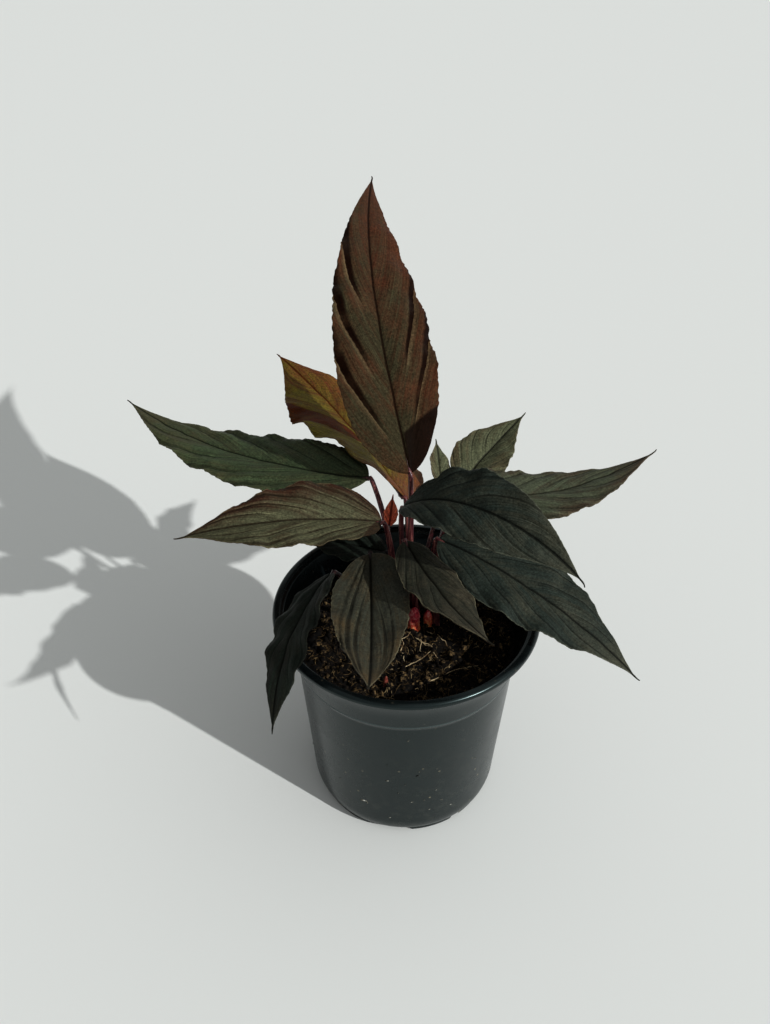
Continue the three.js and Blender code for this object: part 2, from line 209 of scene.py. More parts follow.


# Looks of the leaf blades. flush is the red-brown over the green: tip is how much of it comes in
# towards the tip, as the tipPower of the way along, edge at the margins, base within baseReach of
# the base, and half on one half (below 0 the right one, seen from the base). The dark pleat tone
# is painted shade in the pleats, partly the veins' own darker colour, and also draws the midrib;
# the pale crest tone is a painted highlight on the crest beside each pleat, where crest is its
# share; rim is at the margin, the fold tone is painted shade under a folded base, and under is on
# the lower face. wedgeFade is where the dark beside a vein starts to fade, and shine tints the
# highlights.
usualLook = dict(half=0.0, tipPower=2.2, baseReach=0.14, crest=0.25, wedgeFade=0.5, shine="#dfe2d8",
                 folded="#14180f", stalk="fleshyStalkWineRed", slot="leaf")
leafLooks = {
    "redBrown": dict(green="#363223", flush="#4b2d1e", pleatShadeAndVein="#150703", crestHighlight="#6f5f46", rim="#4e3a28",
                     folded="#0d0403", under="#4a2a1c", tip=0.95, edge=0.4, base=0.3, half=-0.25,
                     tipPower=1.3, crest=0.5, shine="#a88e76"),
    "mustard": dict(green="#645a22", flush="#6a4026", pleatShadeAndVein="#4a2008", crestHighlight="#6e6030", rim="#6b6238",
                    under="#5c3520", tip=0.6, edge=0.55, base=1.2, half=-0.35, baseReach=0.24, crest=0.2,
                    wedgeFade=0.86, shine="#b89a6c", slot="gold_leaf"),
    "darkGreen": dict(green="#3d4832", flush="#4b4832", pleatShadeAndVein="#151a0f", crestHighlight="#56604a", rim="#5c5c46",
                      under="#3a2e20", tip=0.8, edge=0.25, base=0.15),
    "brownGreen": dict(green="#50503c", flush="#3a251a", pleatShadeAndVein="#241b10", crestHighlight="#69664e", rim="#776b52",
                       folded="#2a1c12", under="#3a261c", tip=0.3, edge=0.25, base=0.1, half=-0.85),
    "blackGreen": dict(green="#1c231d", flush="#25221a", pleatShadeAndVein="#0b0e0a", crestHighlight="#333a30", rim="#40443a",
                       under="#1e1816", tip=0.3, edge=0.2, base=0.2, stalk="fleshyStalkNearBlack"),
    "greyGreen": dict(green="#262d28", flush="#454539", pleatShadeAndVein="#0d100c", crestHighlight="#4b5148", rim="#66695a",
                      under="#2c221c", tip=0.9, edge=0.1, base=0.0, tipPower=3.2),
    "dullBrown": dict(green="#3f4036", flush="#544732", pleatShadeAndVein="#12110a", crestHighlight="#5a5847", rim="#7d7860",
                      under="#30241c", tip=0.7, edge=0.25, base=0.2, stalk="fleshyStalkNearBlack"),
    "shadedOlive": dict(green="#272820", flush="#4e483a", pleatShadeAndVein="#12110b", crestHighlight="#4a493c", rim="#75705a",
                        under="#30241c", tip=1.0, edge=0.1, base=0.0),
    "oliveRed": dict(green="#444939", flush="#43362a", pleatShadeAndVein="#1d1d12", crestHighlight="#61604c", rim="#68614e",
                     under="#3a2c20", tip=0.75, edge=0.45, base=0.1),
    "paleGreen": dict(green="#555843", flush="#584a36", pleatShadeAndVein="#35362a", crestHighlight="#74735e", rim="#7a775f",
                      under="#40352a", tip=0.4, edge=0.4, base=0.1, half=0.2, crest=0.2),
    "youngRed": dict(green="#b4583f", flush="#c06c52", pleatShadeAndVein="#5a2016", crestHighlight="#b5604a", rim="#b5684a",
                     under="#8a3824", tip=0.3, edge=0.5, base=0.3, crest=0.2, slot="young_leaf"),
}
leafLooks = {key: {**usualLook, **look} for key, look in leafLooks.items()}


def leafSkin(name, look):
    # Living leaf skin, grown and not polished: many tiny domed cells scatter the light, so the eye
    # sees a dull velvet, streaked along its side veins, with painted shade in the pleats (partly the
    # veins' own darker colour) and a painted highlight on their crests. "vein" counts the side veins,
    # so its fraction runs from 0 at a vein to 1 at the next, "wedge" is the share of that stretch
    # which is dark, and the UV is in tenths of a metre
    material, add = startMaterial(name)
    place = add("TexCoord").outputs
    flush, vein, wedge, dark, folded, rimGap, under = [
        add("Attribute", {"attribute_name": label}).outputs["Fac"]
        for label in ("flush", "vein", "wedge", "dark", "folded", "rimGap", "under")]
    # soft clouds of colour about 13 mm across
    clouds = add("TexNoise", {"Scale": 75.0, "Detail": 6.0, "Roughness": 0.7, "Vector": place["Object"]})
    cloudTone = add("MapRange", {0: clouds, 1: 0.3, 2: 0.7, 3: -0.4, 4: 0.4})
    # redder and paler bands between the veins, about 4 mm by 28 mm
    alongVeins = add("Mapping", {"Scale": (26.0, 3.5, 1.0), "Vector": place["UV"]})
    bands = add("TexNoise", {"Scale": 1.0, "Detail": 4.0, "Roughness": 0.6, "Vector": alongVeins})
    bandTone = add("MapRange", {0: bands, 1: 0.32, 2: 0.68, 3: -0.35, 4: 0.35})
    bandLight = add("MapRange", {0: bands, 1: 0.3, 2: 0.7, 3: 1.3, 4: 0.72})
    shades = add("Math", {"operation": "ADD", 0: cloudTone, 1: bandTone})
    redness = add("Math", {"operation": "ADD", "use_clamp": True, 0: flush, 1: shades})
    # fine parallel veins: 0.3 mm, drawn 0.8 mm wide and 11 mm long
    veinWise = add("Mapping", {"Scale": (120.0, 9.0, 1.0), "Vector": place["UV"]})
    streaks = add("TexNoise", {"Scale": 1.0, "Detail": 5.0, "Roughness": 0.65, "Vector": veinWise})
    streakTone = add("MapRange", {0: streaks, 1: 0.3, 2: 0.7, 3: 0.5, 4: 1.5})
    # cells are 0.05 mm: drawn 0.9 mm wide so that they show
    grain = add("TexNoise", {"Scale": 1050.0, "Detail": 4.0, "Roughness": 0.8, "Vector": place["Object"]})
    grainTone = add("MapRange", {0: grain, 1: 0.3, 2: 0.7, 3: 0.35, 4: 1.65})
    fineTexture = add("Math", {"operation": "MULTIPLY", 0: streakTone, 1: grainTone})
    texture = add("Math", {"operation": "MULTIPLY", 0: fineTexture, 1: bandLight})
    # how much of each layer shows, each a soft step of a distance or of a share
    soft = {"interpolation_type": "SMOOTHSTEP"}
    # the pleats' light is painted: a pale crest as painted highlight, and a dark wedge beside each vein as
    # painted shade, partly the veins' own colour
    since = add("Math", {"operation": "FRACT", 0: vein})
    crest = add("MapRange", {**soft, 0: since, 1: 0.72, 2: 1.0, 3: 0.0, 4: look["crest"]})
    crestShare = add("Math", {"operation": "MULTIPLY", 0: crest, 1: dark})
    rimShare = add("MapRange", {**soft, 0: rimGap, 1: 0.1, 2: 0.5, 3: 0.5, 4: 0.0})
    intoWedge = add("Math", {"operation": "DIVIDE", 0: since, 1: wedge})
    wedgeTone = add("MapRange", {**soft, 0: intoWedge, 1: look["wedgeFade"], 2: 1.0, 3: 1.0, 4: 0.0})
    pleatShadeAndVein = add("Math", {"operation": "MULTIPLY", 0: wedgeTone, 1: dark})
    # the sunk midrib is drawn in the pleats' dark tone: painted crease shade, partly its own darker colour
    offMidrib = add("SeparateXYZ", {0: place["UV"]}).outputs[1]
    midrib = add("MapRange", {**soft, 0: offMidrib, 1: 0.0035, 2: 0.0065, 3: 0.85, 4: 0.0})  # 0.9 mm wide
    colour = add("Mix", {"data_type": "RGBA", 0: redness, 6: look["green"], 7: look["flush"]})
    # over the green and red: the crest's painted highlight, the rim, the pleats' painted shade, painted shade
    # under a folded base, the midrib and the lower face
    for share, tone in ((crestShare, "crestHighlight"), (rimShare, "rim"), (pleatShadeAndVein, "pleatShadeAndVein"), (folded, "folded"),
                        (midrib, "pleatShadeAndVein"), (under, "under")):
        colour = add("Mix", {"data_type": "RGBA", 0: share, 6: colour, 7: look[tone]})
    colour = add("Mix", {"data_type": "RGBA", "blend_type": "MULTIPLY", 0: 1.0, 6: colour, 7: texture})
    rough = add("MapRange", {0: grain, 1: 0.3, 2: 0.7, 3: 0.48, 4: 0.66})
    sunk = add("Bump", {"Strength": 0.6, "Distance": 0.0005, "invert": True, "Height": pleatShadeAndVein})
    lines = add("Bump", {"Strength": 0.5, "Distance": 0.0004, "Height": streaks, "Normal": sunk})
    bump = add("Bump", {"Strength": 0.6, "Distance": 0.0004, "Height": grain, "Normal": lines})
    surface = add("BsdfPrincipled", {"IOR": 1.42, "Specular IOR Level": 0.16, "Sheen Weight": 0.01,
                                     "Sheen Roughness": 0.4, "Sheen Tint": "#b8b9a0",
                                     "Specular Tint": look["shine"], "Base Color": colour,
                                     "Roughness": rough, "Normal": bump})
    add("OutputMaterial", {"Surface": surface})
    return material


# Leaves with the same names, places and angles as the CAD's, up to look, and what only shows in
# the looks: veins is how close the side veins stand, veinSweep how far along a vein has swept when
# it reaches the margin and veinShift where they start, each for the left and the right half seen
# from the base; veinShow is where along the midrib veins start that show, for each half, and
# veinIn how far out they come in; lines is how dark they are, pleat the depth of the pleats, wedge
# how wide the dark beside a vein gets at the margin and wedgePower how late; wave is a share of the
# CAD's ruffle, notch of the margin's notches, thread the length of the thread at the tip and curl
# how it curls (degrees a millimetre), and flap a fold across the base of one half: from low at the
# midrib to high at the margin, falling by drop
usualLeaf = dict(veinSweep=(0.4, 0.4), veinShift=(0, 0.4), veinShow=((-9, 9), (-9, 9)), veinIn=(0.03, 0.35),
                 lines=0.6, wedgePower=1.5, wave=1, notch=1, curl=(5, 5),
                 # a flap's dark is the share of painted shade on the lobe below its fold
                 flap=dict(side=0, low=0, high=0, drop=0, dark=0))
leafPieces = [
    dict(name="tall", foot=(-1.8, 4.6), seat=(1, 15, 169), heading=110, rise=50, droop=45, sweep=-25,
         bank=0, twist=28, fold=2, length=172, width=46, widest=0.28, skew=-0.05, ruffles=7,
         look="redBrown", veins=6.2, veinSweep=(0.31, 0.38), veinShift=(0, 0.1),
         veinShow=((-0.05, 0.42), (-0.08, 0.2)), veinIn=(0.28, 0.5), lines=1.15, pleat=2.0, wedge=5.4,
         thread=4.0, curl=(-3, 5), flap=dict(side=-1, low=0.1, high=0.165, drop=3.4, dark=0.93)),
    # gold's one wide dark band across its left half, from its wide wedge and narrow veinShow, is painted
    # shade
    dict(name="gold", foot=(-2, 13), seat=(-1, 23, 151), heading=111, rise=0, droop=-8, sweep=17,
         bank=49, twist=-70, fold=2, length=134, width=55, widest=0.39, skew=0.06, ruffles=5,
         look="mustard", veins=5.5, veinSweep=(0.22, 0.38), veinShift=(0.474, 0.3),
         veinShow=((0.3, 0.5), (2, 3)), veinIn=(0.02, 0.12), lines=1.15, pleat=0.5, wedge=24.0,
         wedgePower=0.3, thread=1.5, curl=(-4, 10)),
    dict(name="left_upper", foot=(-7.4, 4.6), seat=(-17, 26, 159), heading=163, rise=-6, droop=-4,
         sweep=-34, bank=-11, twist=28, fold=3, length=153, width=43, widest=0.32, skew=0.06, ruffles=7,
         look="darkGreen", veins=6.4, veinSweep=(0.35, 0.35), pleat=1.2, wedge=1.6, wave=0.45,
         thread=2.5, curl=(4, 6)),
    dict(name="left_lower", foot=(-9.2, -0.6), seat=(-11, -2, 156), heading=193, rise=17, droop=34,
         sweep=-11, bank=-15, twist=1, fold=17, length=84, width=34, widest=0.39, skew=0.06, ruffles=5,
         look="brownGreen", veins=6.2, veinSweep=(0.55, 0.55), veinShift=(0.5, 0.5), pleat=1.1,
         wedge=1.5, lines=0.75, thread=3.0, curl=(3, -5),
         flap=dict(side=1, low=0.03, high=0.13, drop=1.6, dark=0.85)),
    dict(name="hanging", foot=(-9.2, -6.8), seat=(-32, -9, 134), heading=234, rise=-5, droop=55,
         sweep=28, bank=36, twist=-9, fold=4, length=72, width=26, widest=0.42, skew=0.04, ruffles=5,
         look="blackGreen", veins=5, pleat=0.6, wedge=0.8, wave=1.5, notch=2.6, thread=2.0),
    dict(name="front", foot=(-5, -6.4), seat=(-16, 0, 137), heading=272, rise=-8, droop=-44, sweep=-3,
         bank=12, twist=-25, fold=14, length=105, width=33, widest=0.3, skew=-0.04, ruffles=4,
         look="dullBrown", veins=4, veinSweep=(0.85, 0.95), veinShift=(0.35, 0.58),
         veinShow=((0, 0.4), (-0.3, 0.25)), lines=0.72, pleat=1.3, wedge=5.2, thread=2.5, curl=(5, 4)),
    dict(name="front_right", foot=(2.9, -0.4), seat=(-1, -5, 148), heading=293, rise=-10, droop=-23,
         sweep=6, bank=0, twist=-29, fold=2, length=69, width=25, widest=0.44, skew=0.02, ruffles=4,
         look="shadedOlive", veins=5.5, veinSweep=(0.45, 0.45), pleat=0.5, wedge=0.5, thread=2.0),
    dict(name="right_lower", foot=(11.6, -1.4), seat=(14, 9, 138), heading=330, rise=-5, droop=34,
         sweep=2, bank=15, twist=-9, fold=7, length=103, width=40, widest=0.37, skew=-0.01, ruffles=5,
         look="greyGreen", veins=6, veinSweep=(0.42, 0.42), pleat=0.9, wedge=0.9, thread=2.5),
    dict(name="right_arched", foot=(-1.2, 0.6), seat=(-2, 7, 157), heading=313, rise=47, droop=88,
         sweep=17, bank=15, twist=36, fold=11, length=94, width=31, widest=0.45, skew=-0.03, ruffles=5,
         look="greyGreen", veins=6, veinSweep=(0.34, 0.34), pleat=0.9, wedge=0.9, thread=3.0,
         curl=(-14, 8)),
    dict(name="right_upper", foot=(7, 4.4), seat=(24, 15, 157), heading=20, rise=-19, droop=-27,
         sweep=15, bank=14, twist=-32, fold=4, length=109, width=37, widest=0.3, skew=-0.08, ruffles=6,
         look="oliveRed", veins=6.2, pleat=1.1, wedge=1.4, wave=0.5, thread=3.0, curl=(4, 6)),
    dict(name="back_right", foot=(5.4, 10), seat=(26, 46, 142), heading=52, rise=17, droop=-9,
         sweep=-13, bank=10, twist=-15, fold=14, length=48, width=29, widest=0.36, skew=0, ruffles=4,
         look="paleGreen", veins=5.5, pleat=0.5, wedge=0.4, wave=0.7, thread=2.0),
    dict(name="back_low", foot=(-5.4, 9.4), seat=(-9, 32, 112), heading=172, rise=10, droop=8, sweep=0,
         bank=-8, twist=0, fold=8, length=42, width=23, widest=0.4, skew=0, ruffles=4,
         look="blackGreen", veins=5, pleat=0.5, wedge=0.4, thread=1.5),
    dict(name="back_middle", foot=(2, 16.4), seat=(16.6, 43, 142), heading=95, rise=30, droop=4,
         sweep=0, bank=30, twist=0, fold=12, length=24, width=12, widest=0.42, skew=0, ruffles=3,
         look="paleGreen", veins=4, pleat=0.3, wedge=0.3, thread=1.5),
    dict(name="young", foot=(-5.4, 0.8), seat=(-7.8, 8.6, 146), heading=75, rise=64, droop=6, sweep=0,
         bank=20, twist=0, fold=16, length=12.5, width=6.4, widest=0.42, skew=0, ruffles=2,
         look="youngRed", veins=4, pleat=0.2, wedge=0.3, thread=1.2),
]
leafPieces = [{**usualLeaf, **leaf} for leaf in leafPieces]

# How a blade is drawn, in mm unless it says otherwise. crowding sets the columns closer at the
# midrib and the rims, and fullHalfWidth is the half width at which pleats and lumps have full size
bladeShape = dict(rowStep=0.5, leastRows=30, halfColumns=26, crowding=0.45, baseHalfWidth=1.2,
                  tipHalfWidth=0.35, threadHalfWidth=0.14, baseRoundness=0.55, tipTaper=1.28,
                  bulgeShare=0.22, ruffleShare=0.075, ruffleCalm=0.7, ruffleShift=2.1,
                  middleHalfThickness=0.3, rimHalfThickness=0.13, midribDepth=0.7, midribWidth=0.55,
                  midribUnder=0.85, fullHalfWidth=12, pleatTipSide=2.6, pleatBaseSide=1.3,
                  pleatLift=0.2, pleatUnder=0.35, pleatUnderWidth=0.8, lineWidth=0.45, flapBend=5,
                  fineWave=0.22, fineWaveLength=8.5, notchShare=0.008, notchLength=4.6,
                  notchWander=3, fineNotch=1.4, toothDepth=0.2, toothLength=0.9, lumpHeight=0.35)


def leafDirections(leaf, along):
    # Forward, across and up at shares of the way along the midrib: heading, rise and bank change
    # evenly from base to tip, and past the tip the thread curls by so many degrees a millimetre
    past = np.clip(along - 1, 0, None) * leaf["length"]
    within = np.clip(along, 0, 1)
    heading = np.radians(leaf["heading"] + leaf["sweep"] * within + leaf["curl"][1] * past)
    rise = np.radians(leaf["rise"] - leaf["droop"] * within + leaf["curl"][0] * past)
    bank = np.radians(leaf["bank"] + leaf["twist"] * within)[:, None]
    forward = np.stack([np.cos(heading) * np.cos(rise), np.sin(heading) * np.cos(rise),
                        np.sin(rise)], axis=-1)
    level = np.stack([-np.sin(heading), np.cos(heading), np.zeros_like(heading)], axis=-1)
    upright = np.cross(forward, level)
    across = level * np.cos(bank) + upright * np.sin(bank)
    up = upright * np.cos(bank) - level * np.sin(bank)
    return forward, across, up


def midribPath(leaf, along):
    # The midrib from the seat: steps along the forward direction taken midway between rows
    steps = np.diff(along)
    forward, _, _ = leafDirections(leaf, along[:-1] + steps / 2)
    walked = np.cumsum(forward * (steps * leaf["length"])[:, None], axis=0)
    return np.asarray(leaf["seat"], float) + np.vstack([np.zeros(3), walked])


def bladeHalfWidth(leaf, along, side):
    # Half width / 2 times (1 - ((w - t) / w)^2)^0.55 up to the widest place w and
    # cos(90 deg * (t - w) / (1 - w))^1.28 after it, never less than a thin tip and its thread
    shape = bladeShape
    within = np.clip(along, 0, 1)
    widest = leaf["widest"] + leaf["skew"] * np.sign(side)
    before = np.clip((widest - within) / widest, 0, 1)
    after = np.clip((within - widest) / (1 - widest), 0, 1)
    share = np.where(within < widest, (1 - before ** 2) ** shape["baseRoundness"],
                     np.cos(np.pi / 2 * after) ** shape["tipTaper"])
    least = shape["baseHalfWidth"] + (shape["tipHalfWidth"] - shape["baseHalfWidth"]) * within
    past = np.clip((along - 1) * leaf["length"] / leaf["thread"], 0, 1)
    least = least + (shape["threadHalfWidth"] - shape["tipHalfWidth"]) * past
    return np.where(past > 0, least, np.maximum(leaf["width"] / 2 * share, least))


def sideVeins(leaf, along, side):
    # A side vein leaves the midrib at t0 and has reached t0 + sweep * |v|^1.1 at v. Its number is
    # veins * t0 * (1 - t0 / 4) + shift, so whole numbers are veins, wider apart towards the tip.
    start = np.clip(along, 0, 1) - np.where(side > 0, *leaf["veinSweep"]) * np.abs(side) ** 1.1
    return start, leaf["veins"] * start * (1 - start / 4) + np.where(side > 0, *leaf["veinShift"])


def belowFlapFold(flap, along, side, length):
    # How far below the fold a place of the base lobe is, in mm: the fold runs from low at the
    # midrib to high at the margin of one half
    fold = flap["low"] + (flap["high"] - flap["low"]) * np.abs(side)
    return np.clip(fold - along, 0, None) * length * (side * flap["side"] > 0)


def bladeSurface(leaf, seed):
    # The blade as a function of t along and v across: middle + across * h * v * cos(fold) +
    # up * (h * |v| * sin(fold) + relief). Relief is the CAD's bulge and ruffle, a pleat at each
    # side vein that falls as e^(-gap / width) on both sides of it, more slowly towards the tip, a
    # sunk midrib, finer waves near the rim, soft lumps and the fold across the base.
    shape = bladeShape
    flap = leaf["flap"]
    rows = max(shape["leastRows"], round((leaf["length"] + leaf["thread"]) / shape["rowStep"]))
    t = np.linspace(0, 1 + leaf["thread"] / leaf["length"], rows + 1)
    even = np.linspace(-1, 1, 2 * shape["halfColumns"] + 1)
    v = even - shape["crowding"] * np.sin(2 * np.pi * even) / (2 * np.pi)
    _, across, up = leafDirections(leaf, t)
    middle = midribPath(leaf, t)
    along, side = np.meshgrid(t, v, indexing="ij")
    out = np.abs(side)
    distance = along * leaf["length"]
    half = bladeHalfWidth(leaf, along, side)
    offMidrib = side * half
    midribGap = out * half

    def rimNoise(cell, apart, shift):  # the same all the way out, but not on both halves
        return softNoise(distance / cell, apart * np.sign(side), seed + shift)

    def skinNoise(alongCell, acrossCell, shift):
        return softNoise(distance / alongCell, offMidrib / acrossCell, seed + shift)

    # outline: notches and fine teeth, none of them at the base and the tip
    calm = np.clip(np.sin(np.pi * np.clip(along, 0, 1)), 0, 1)
    notches = np.sin(2 * np.pi * distance / shape["notchLength"] + shape["notchWander"] * rimNoise(9, 1, 0))
    notches = notches + shape["fineNotch"] * rimNoise(2.1, 5, 1)
    wide = half * (1 + leaf["notch"] * shape["notchShare"] * notches * out ** 2 * calm ** 0.5)
    teeth = rimNoise(shape["toothLength"], 5, 6) * smoothStep(0.8, 1, out)
    wide = wide + shape["toothDepth"] * teeth * calm
    # the CAD's bulge and ruffle
    phase = np.where(side < 0, shape["ruffleShift"], 0)
    bulge = shape["bulgeShare"] * half * out * (1 - out)
    ruffle = leaf["wave"] * shape["ruffleShare"] * half * out ** 2 * calm ** shape["ruffleCalm"]
    relief = bulge + ruffle * np.sin(2 * np.pi * leaf["ruffles"] * along + phase)
    # side veins: how far each place is from the nearest, in mm, and how much of them shows there
    start, veins = sideVeins(leaf, along, side)
    slopeAlong = np.abs(np.gradient(veins, distance[:, 0], axis=0))
    slopeAcross = np.abs(np.gradient(veins, v, axis=1)) / np.maximum(half, 0.5)
    perMillimetre = np.hypot(slopeAlong, slopeAcross)
    veinGap = (veins - np.round(veins)) / np.maximum(perMillimetre, 1e-3)
    low, high = [np.where(side > 0, left, right) for left, right in zip(*leaf["veinShow"])]
    shown = smoothStep(low - 0.04, low, start) * smoothStep(high + 0.04, high, start)
    ends = smoothStep(0.0, 0.06, along) * smoothStep(1.0, 0.75, along)
    veinShare = smoothStep(*leaf["veinIn"], out) * ends * shown
    # pleats, sunk midrib, fine waves, lumps and the fold across the base
    size = np.clip(half / shape["fullHalfWidth"], 0.25, 1.2)
    pleatCalm = veinShare * smoothStep(0.04, 0.6, out)
    fall = np.where(veinGap > 0, veinGap / shape["pleatTipSide"], -veinGap / shape["pleatBaseSide"])
    relief = relief - leaf["pleat"] * size * pleatCalm * (np.exp(-fall / size) - shape["pleatLift"])
    midribFade = np.clip(1 - along, 0, 1) ** 0.5
    relief = relief - shape["midribDepth"] * midribFade * np.exp(-(midribGap / shape["midribWidth"]) ** 2)
    wave = np.sin(2 * np.pi * distance / shape["fineWaveLength"] + 4 * rimNoise(14, 3, 2))
    relief = relief + shape["fineWave"] * size * out ** 5 * calm * wave
    lumps = shape["lumpHeight"] * size * (skinNoise(9, 5, 3) + 0.5 * skinNoise(3.4, 3, 4))
    relief = relief + lumps * smoothStep(0, 0.1, along) * smoothStep(1, 0.85, along)
    belowFold = belowFlapFold(flap, along, side, leaf["length"])
    bent = 1 - np.exp(-belowFold / shape["flapBend"])
    relief = relief - flap["drop"] * bent * smoothStep(0.05, 0.4, out)
    # upper and lower face
    fold = math.radians(leaf["fold"])
    point = (middle[:, None] + across[:, None] * (wide * side * math.cos(fold))[..., None]
             + up[:, None] * (half * out * math.sin(fold) + relief)[..., None])
    thinning = shape["middleHalfThickness"] - shape["rimHalfThickness"]
    thick = shape["rimHalfThickness"] + thinning * (1 - out ** 2)
    keel = shape["midribUnder"] * midribFade * np.exp(-(midribGap / (1.5 * shape["midribWidth"])) ** 2)
    keel = keel + shape["pleatUnder"] * size * pleatCalm * np.exp(-(veinGap / shape["pleatUnderWidth"]) ** 2)
    upper = point + up[:, None] * thick[..., None]
    lower = point - up[:, None] * (thick + keel)[..., None]
    # what the leaf skin reads
    look = leafLooks[leaf["look"]]
    flush = look["tip"] * np.clip(along, 0, 1) ** look["tipPower"] + look["edge"] * out ** 3
    flush = flush + look["base"] * smoothStep(look["baseReach"], 0.0, along) + look["half"] * side
    flush = flush + 0.3 * skinNoise(16, 9, 5)
    darkWidth = shape["lineWidth"] * size + leaf["wedge"] * out ** leaf["wedgePower"]
    broken = 0.85 + 0.35 * skinNoise(7, 4, 7)
    values = dict(flush=np.clip(flush, 0, 1), vein=veins, wedge=np.clip(darkWidth * perMillimetre, 0.03, 0.8),
                  dark=np.clip(leaf["lines"] * broken * veinShare, 0, 1),
                  # painted shade on the base lobe below the fold, with the flap's dark as its share
                  folded=flap["dark"] * smoothStep(0, 1.2, belowFold) * smoothStep(0.02, 0.08, out),
                  rimGap=(1 - out) * half)
    veinWise = np.stack([veins * leaf["length"] / leaf["veins"], midribGap], axis=-1) / 100
    return upper, lower, values, veinWise


def bladePiece(leaf, seed):
    # Upper and lower face from the same grid, joined round the rim
    upper, lower, values, veinWise = bladeSurface(leaf, seed)
    rows, columns, _ = upper.shape
    count = rows * columns
    top = gridQuads(rows, columns, closed=False)
    row = np.arange(rows - 1) * columns
    column = np.arange(columns - 1)
    right = np.stack([row, row + count, row + columns + count, row + columns], axis=-1)
    edge = row + columns - 1
    left = np.stack([edge, edge + columns, edge + columns + count, edge + count], axis=-1)
    end = (rows - 1) * columns
    base = np.stack([column, column + 1, column + 1 + count, column + count], axis=-1)
    tip = end + np.stack([column, column + count, column + 1 + count, column + 1], axis=-1)
    quads = np.concatenate([top, top[:, ::-1] + count, right, left, base, tip])
    points = np.concatenate([upper.reshape(-1, 3), lower.reshape(-1, 3)])
    twice = {label: np.tile(value.ravel(), 2) for label, value in values.items()}
    twice["under"] = np.repeat([0, 1], count)
    uv = np.tile(veinWise.reshape(-1, 2), (2, 1))
    return makeMesh("blade_" + leaf["name"] + "_skin", points, quads, uv=uv, values=twice)


# The stalks are as in the CAD; the looks run each one on under the blade's base
stalkShape = dict(baseRadius=1.9, tipRadius=1.05, rise=0.35, leanOut=0.3, turn=0.2, leastRise=16.0,
                  gap=0.3, steps=64, sides=18, runOn=7.0, runOnShare=0.12, runOnSteps=8,
                  runOnRadii=(0.85, 0.3), runOnDrop=0.4, sheathPlace=0.22, sheathLength=0.12,
                  sheathSwell=0.12, slimLength=30, lumpDepth=0.05, lumpWidth=2, lumpLength=7)
stalkLooks = {
    "fleshyStalkWineRed": dict(dark="#2a1014", red="#502226", pink="#9a665c", speck="#170709"),
    # the same stalk darkened: painted shade, for the stalks of leaves that stand in shade
    "fleshyStalkNearBlack": dict(dark="#14090a", red="#241214", pink="#4a2e2c", speck="#0c0505"),
}


def stalkPath(leaf):
    # Cubic Bezier from the mix to the blade: straight up out of the mix, then leaning towards the
    # blade, then a few mm on along the underside of the midrib
    shape = stalkShape
    foot = crownFoot + [*leaf["foot"], 0]
    seat = np.asarray(leaf["seat"], float)
    reach = np.linalg.norm(seat - foot)
    forward, _, up = [vectors[0] for vectors in leafDirections(leaf, np.zeros(1))]
    arrive = unit((1 - shape["turn"]) * (seat - foot) / reach + shape["turn"] * forward)
    bend = math.acos(float(np.clip(arrive @ forward, -1, 1)))
    end = seat - forward * (shape["gap"] + shape["tipRadius"] * math.sin(bend))
    aboveFoot = foot + [0, 0, max(shape["rise"] * reach, shape["leastRise"])]
    beforeEnd = end - arrive * shape["leanOut"] * reach
    s = np.linspace(0, 1, shape["steps"])[:, None]
    curve = ((1 - s) ** 3 * foot + 3 * s * (1 - s) ** 2 * aboveFoot
             + 3 * s ** 2 * (1 - s) * beforeEnd + s ** 3 * end)
    runOnLength = min(shape["runOn"], shape["runOnShare"] * leaf["length"])
    runOn = np.linspace(0.4, 1, shape["runOnSteps"])[:, None] * runOnLength
    ending = shape["tipRadius"] * np.linspace(*shape["runOnRadii"], shape["runOnSteps"])
    path = np.vstack([curve, seat + forward * runOn - up * (shape["runOnDrop"] + ending[:, None])])
    s = s[:, 0]
    radius = shape["baseRadius"] + (shape["tipRadius"] - shape["baseRadius"]) * np.sqrt(s)
    sheath = np.exp(-((s - shape["sheathPlace"]) / shape["sheathLength"]) ** 2)
    radius = np.concatenate([radius * (1 + shape["sheathSwell"] * sheath), ending])
    slim = min(1.0, leaf["length"] / shape["slimLength"])  # a small leaf's stalk thins on its way up
    radius = radius * (1 - (1 - slim) * np.linspace(0, 1, len(path)) ** 0.5)
    sideways = unit(np.cross(seat - foot, [0, 0, 1.0]) + np.array([1e-6, 0, 0]))
    return path, radius, sideways


def stalkPiece(leaf, seed):
    shape = stalkShape
    path, radius, sideways = stalkPath(leaf)
    tube = roughTube(path, radius, shape["sides"], sideways, seed,
                     shape["lumpDepth"], shape["lumpWidth"], shape["lumpLength"])
    return makeMesh("stalk_" + leaf["name"] + "_skin", *tube)


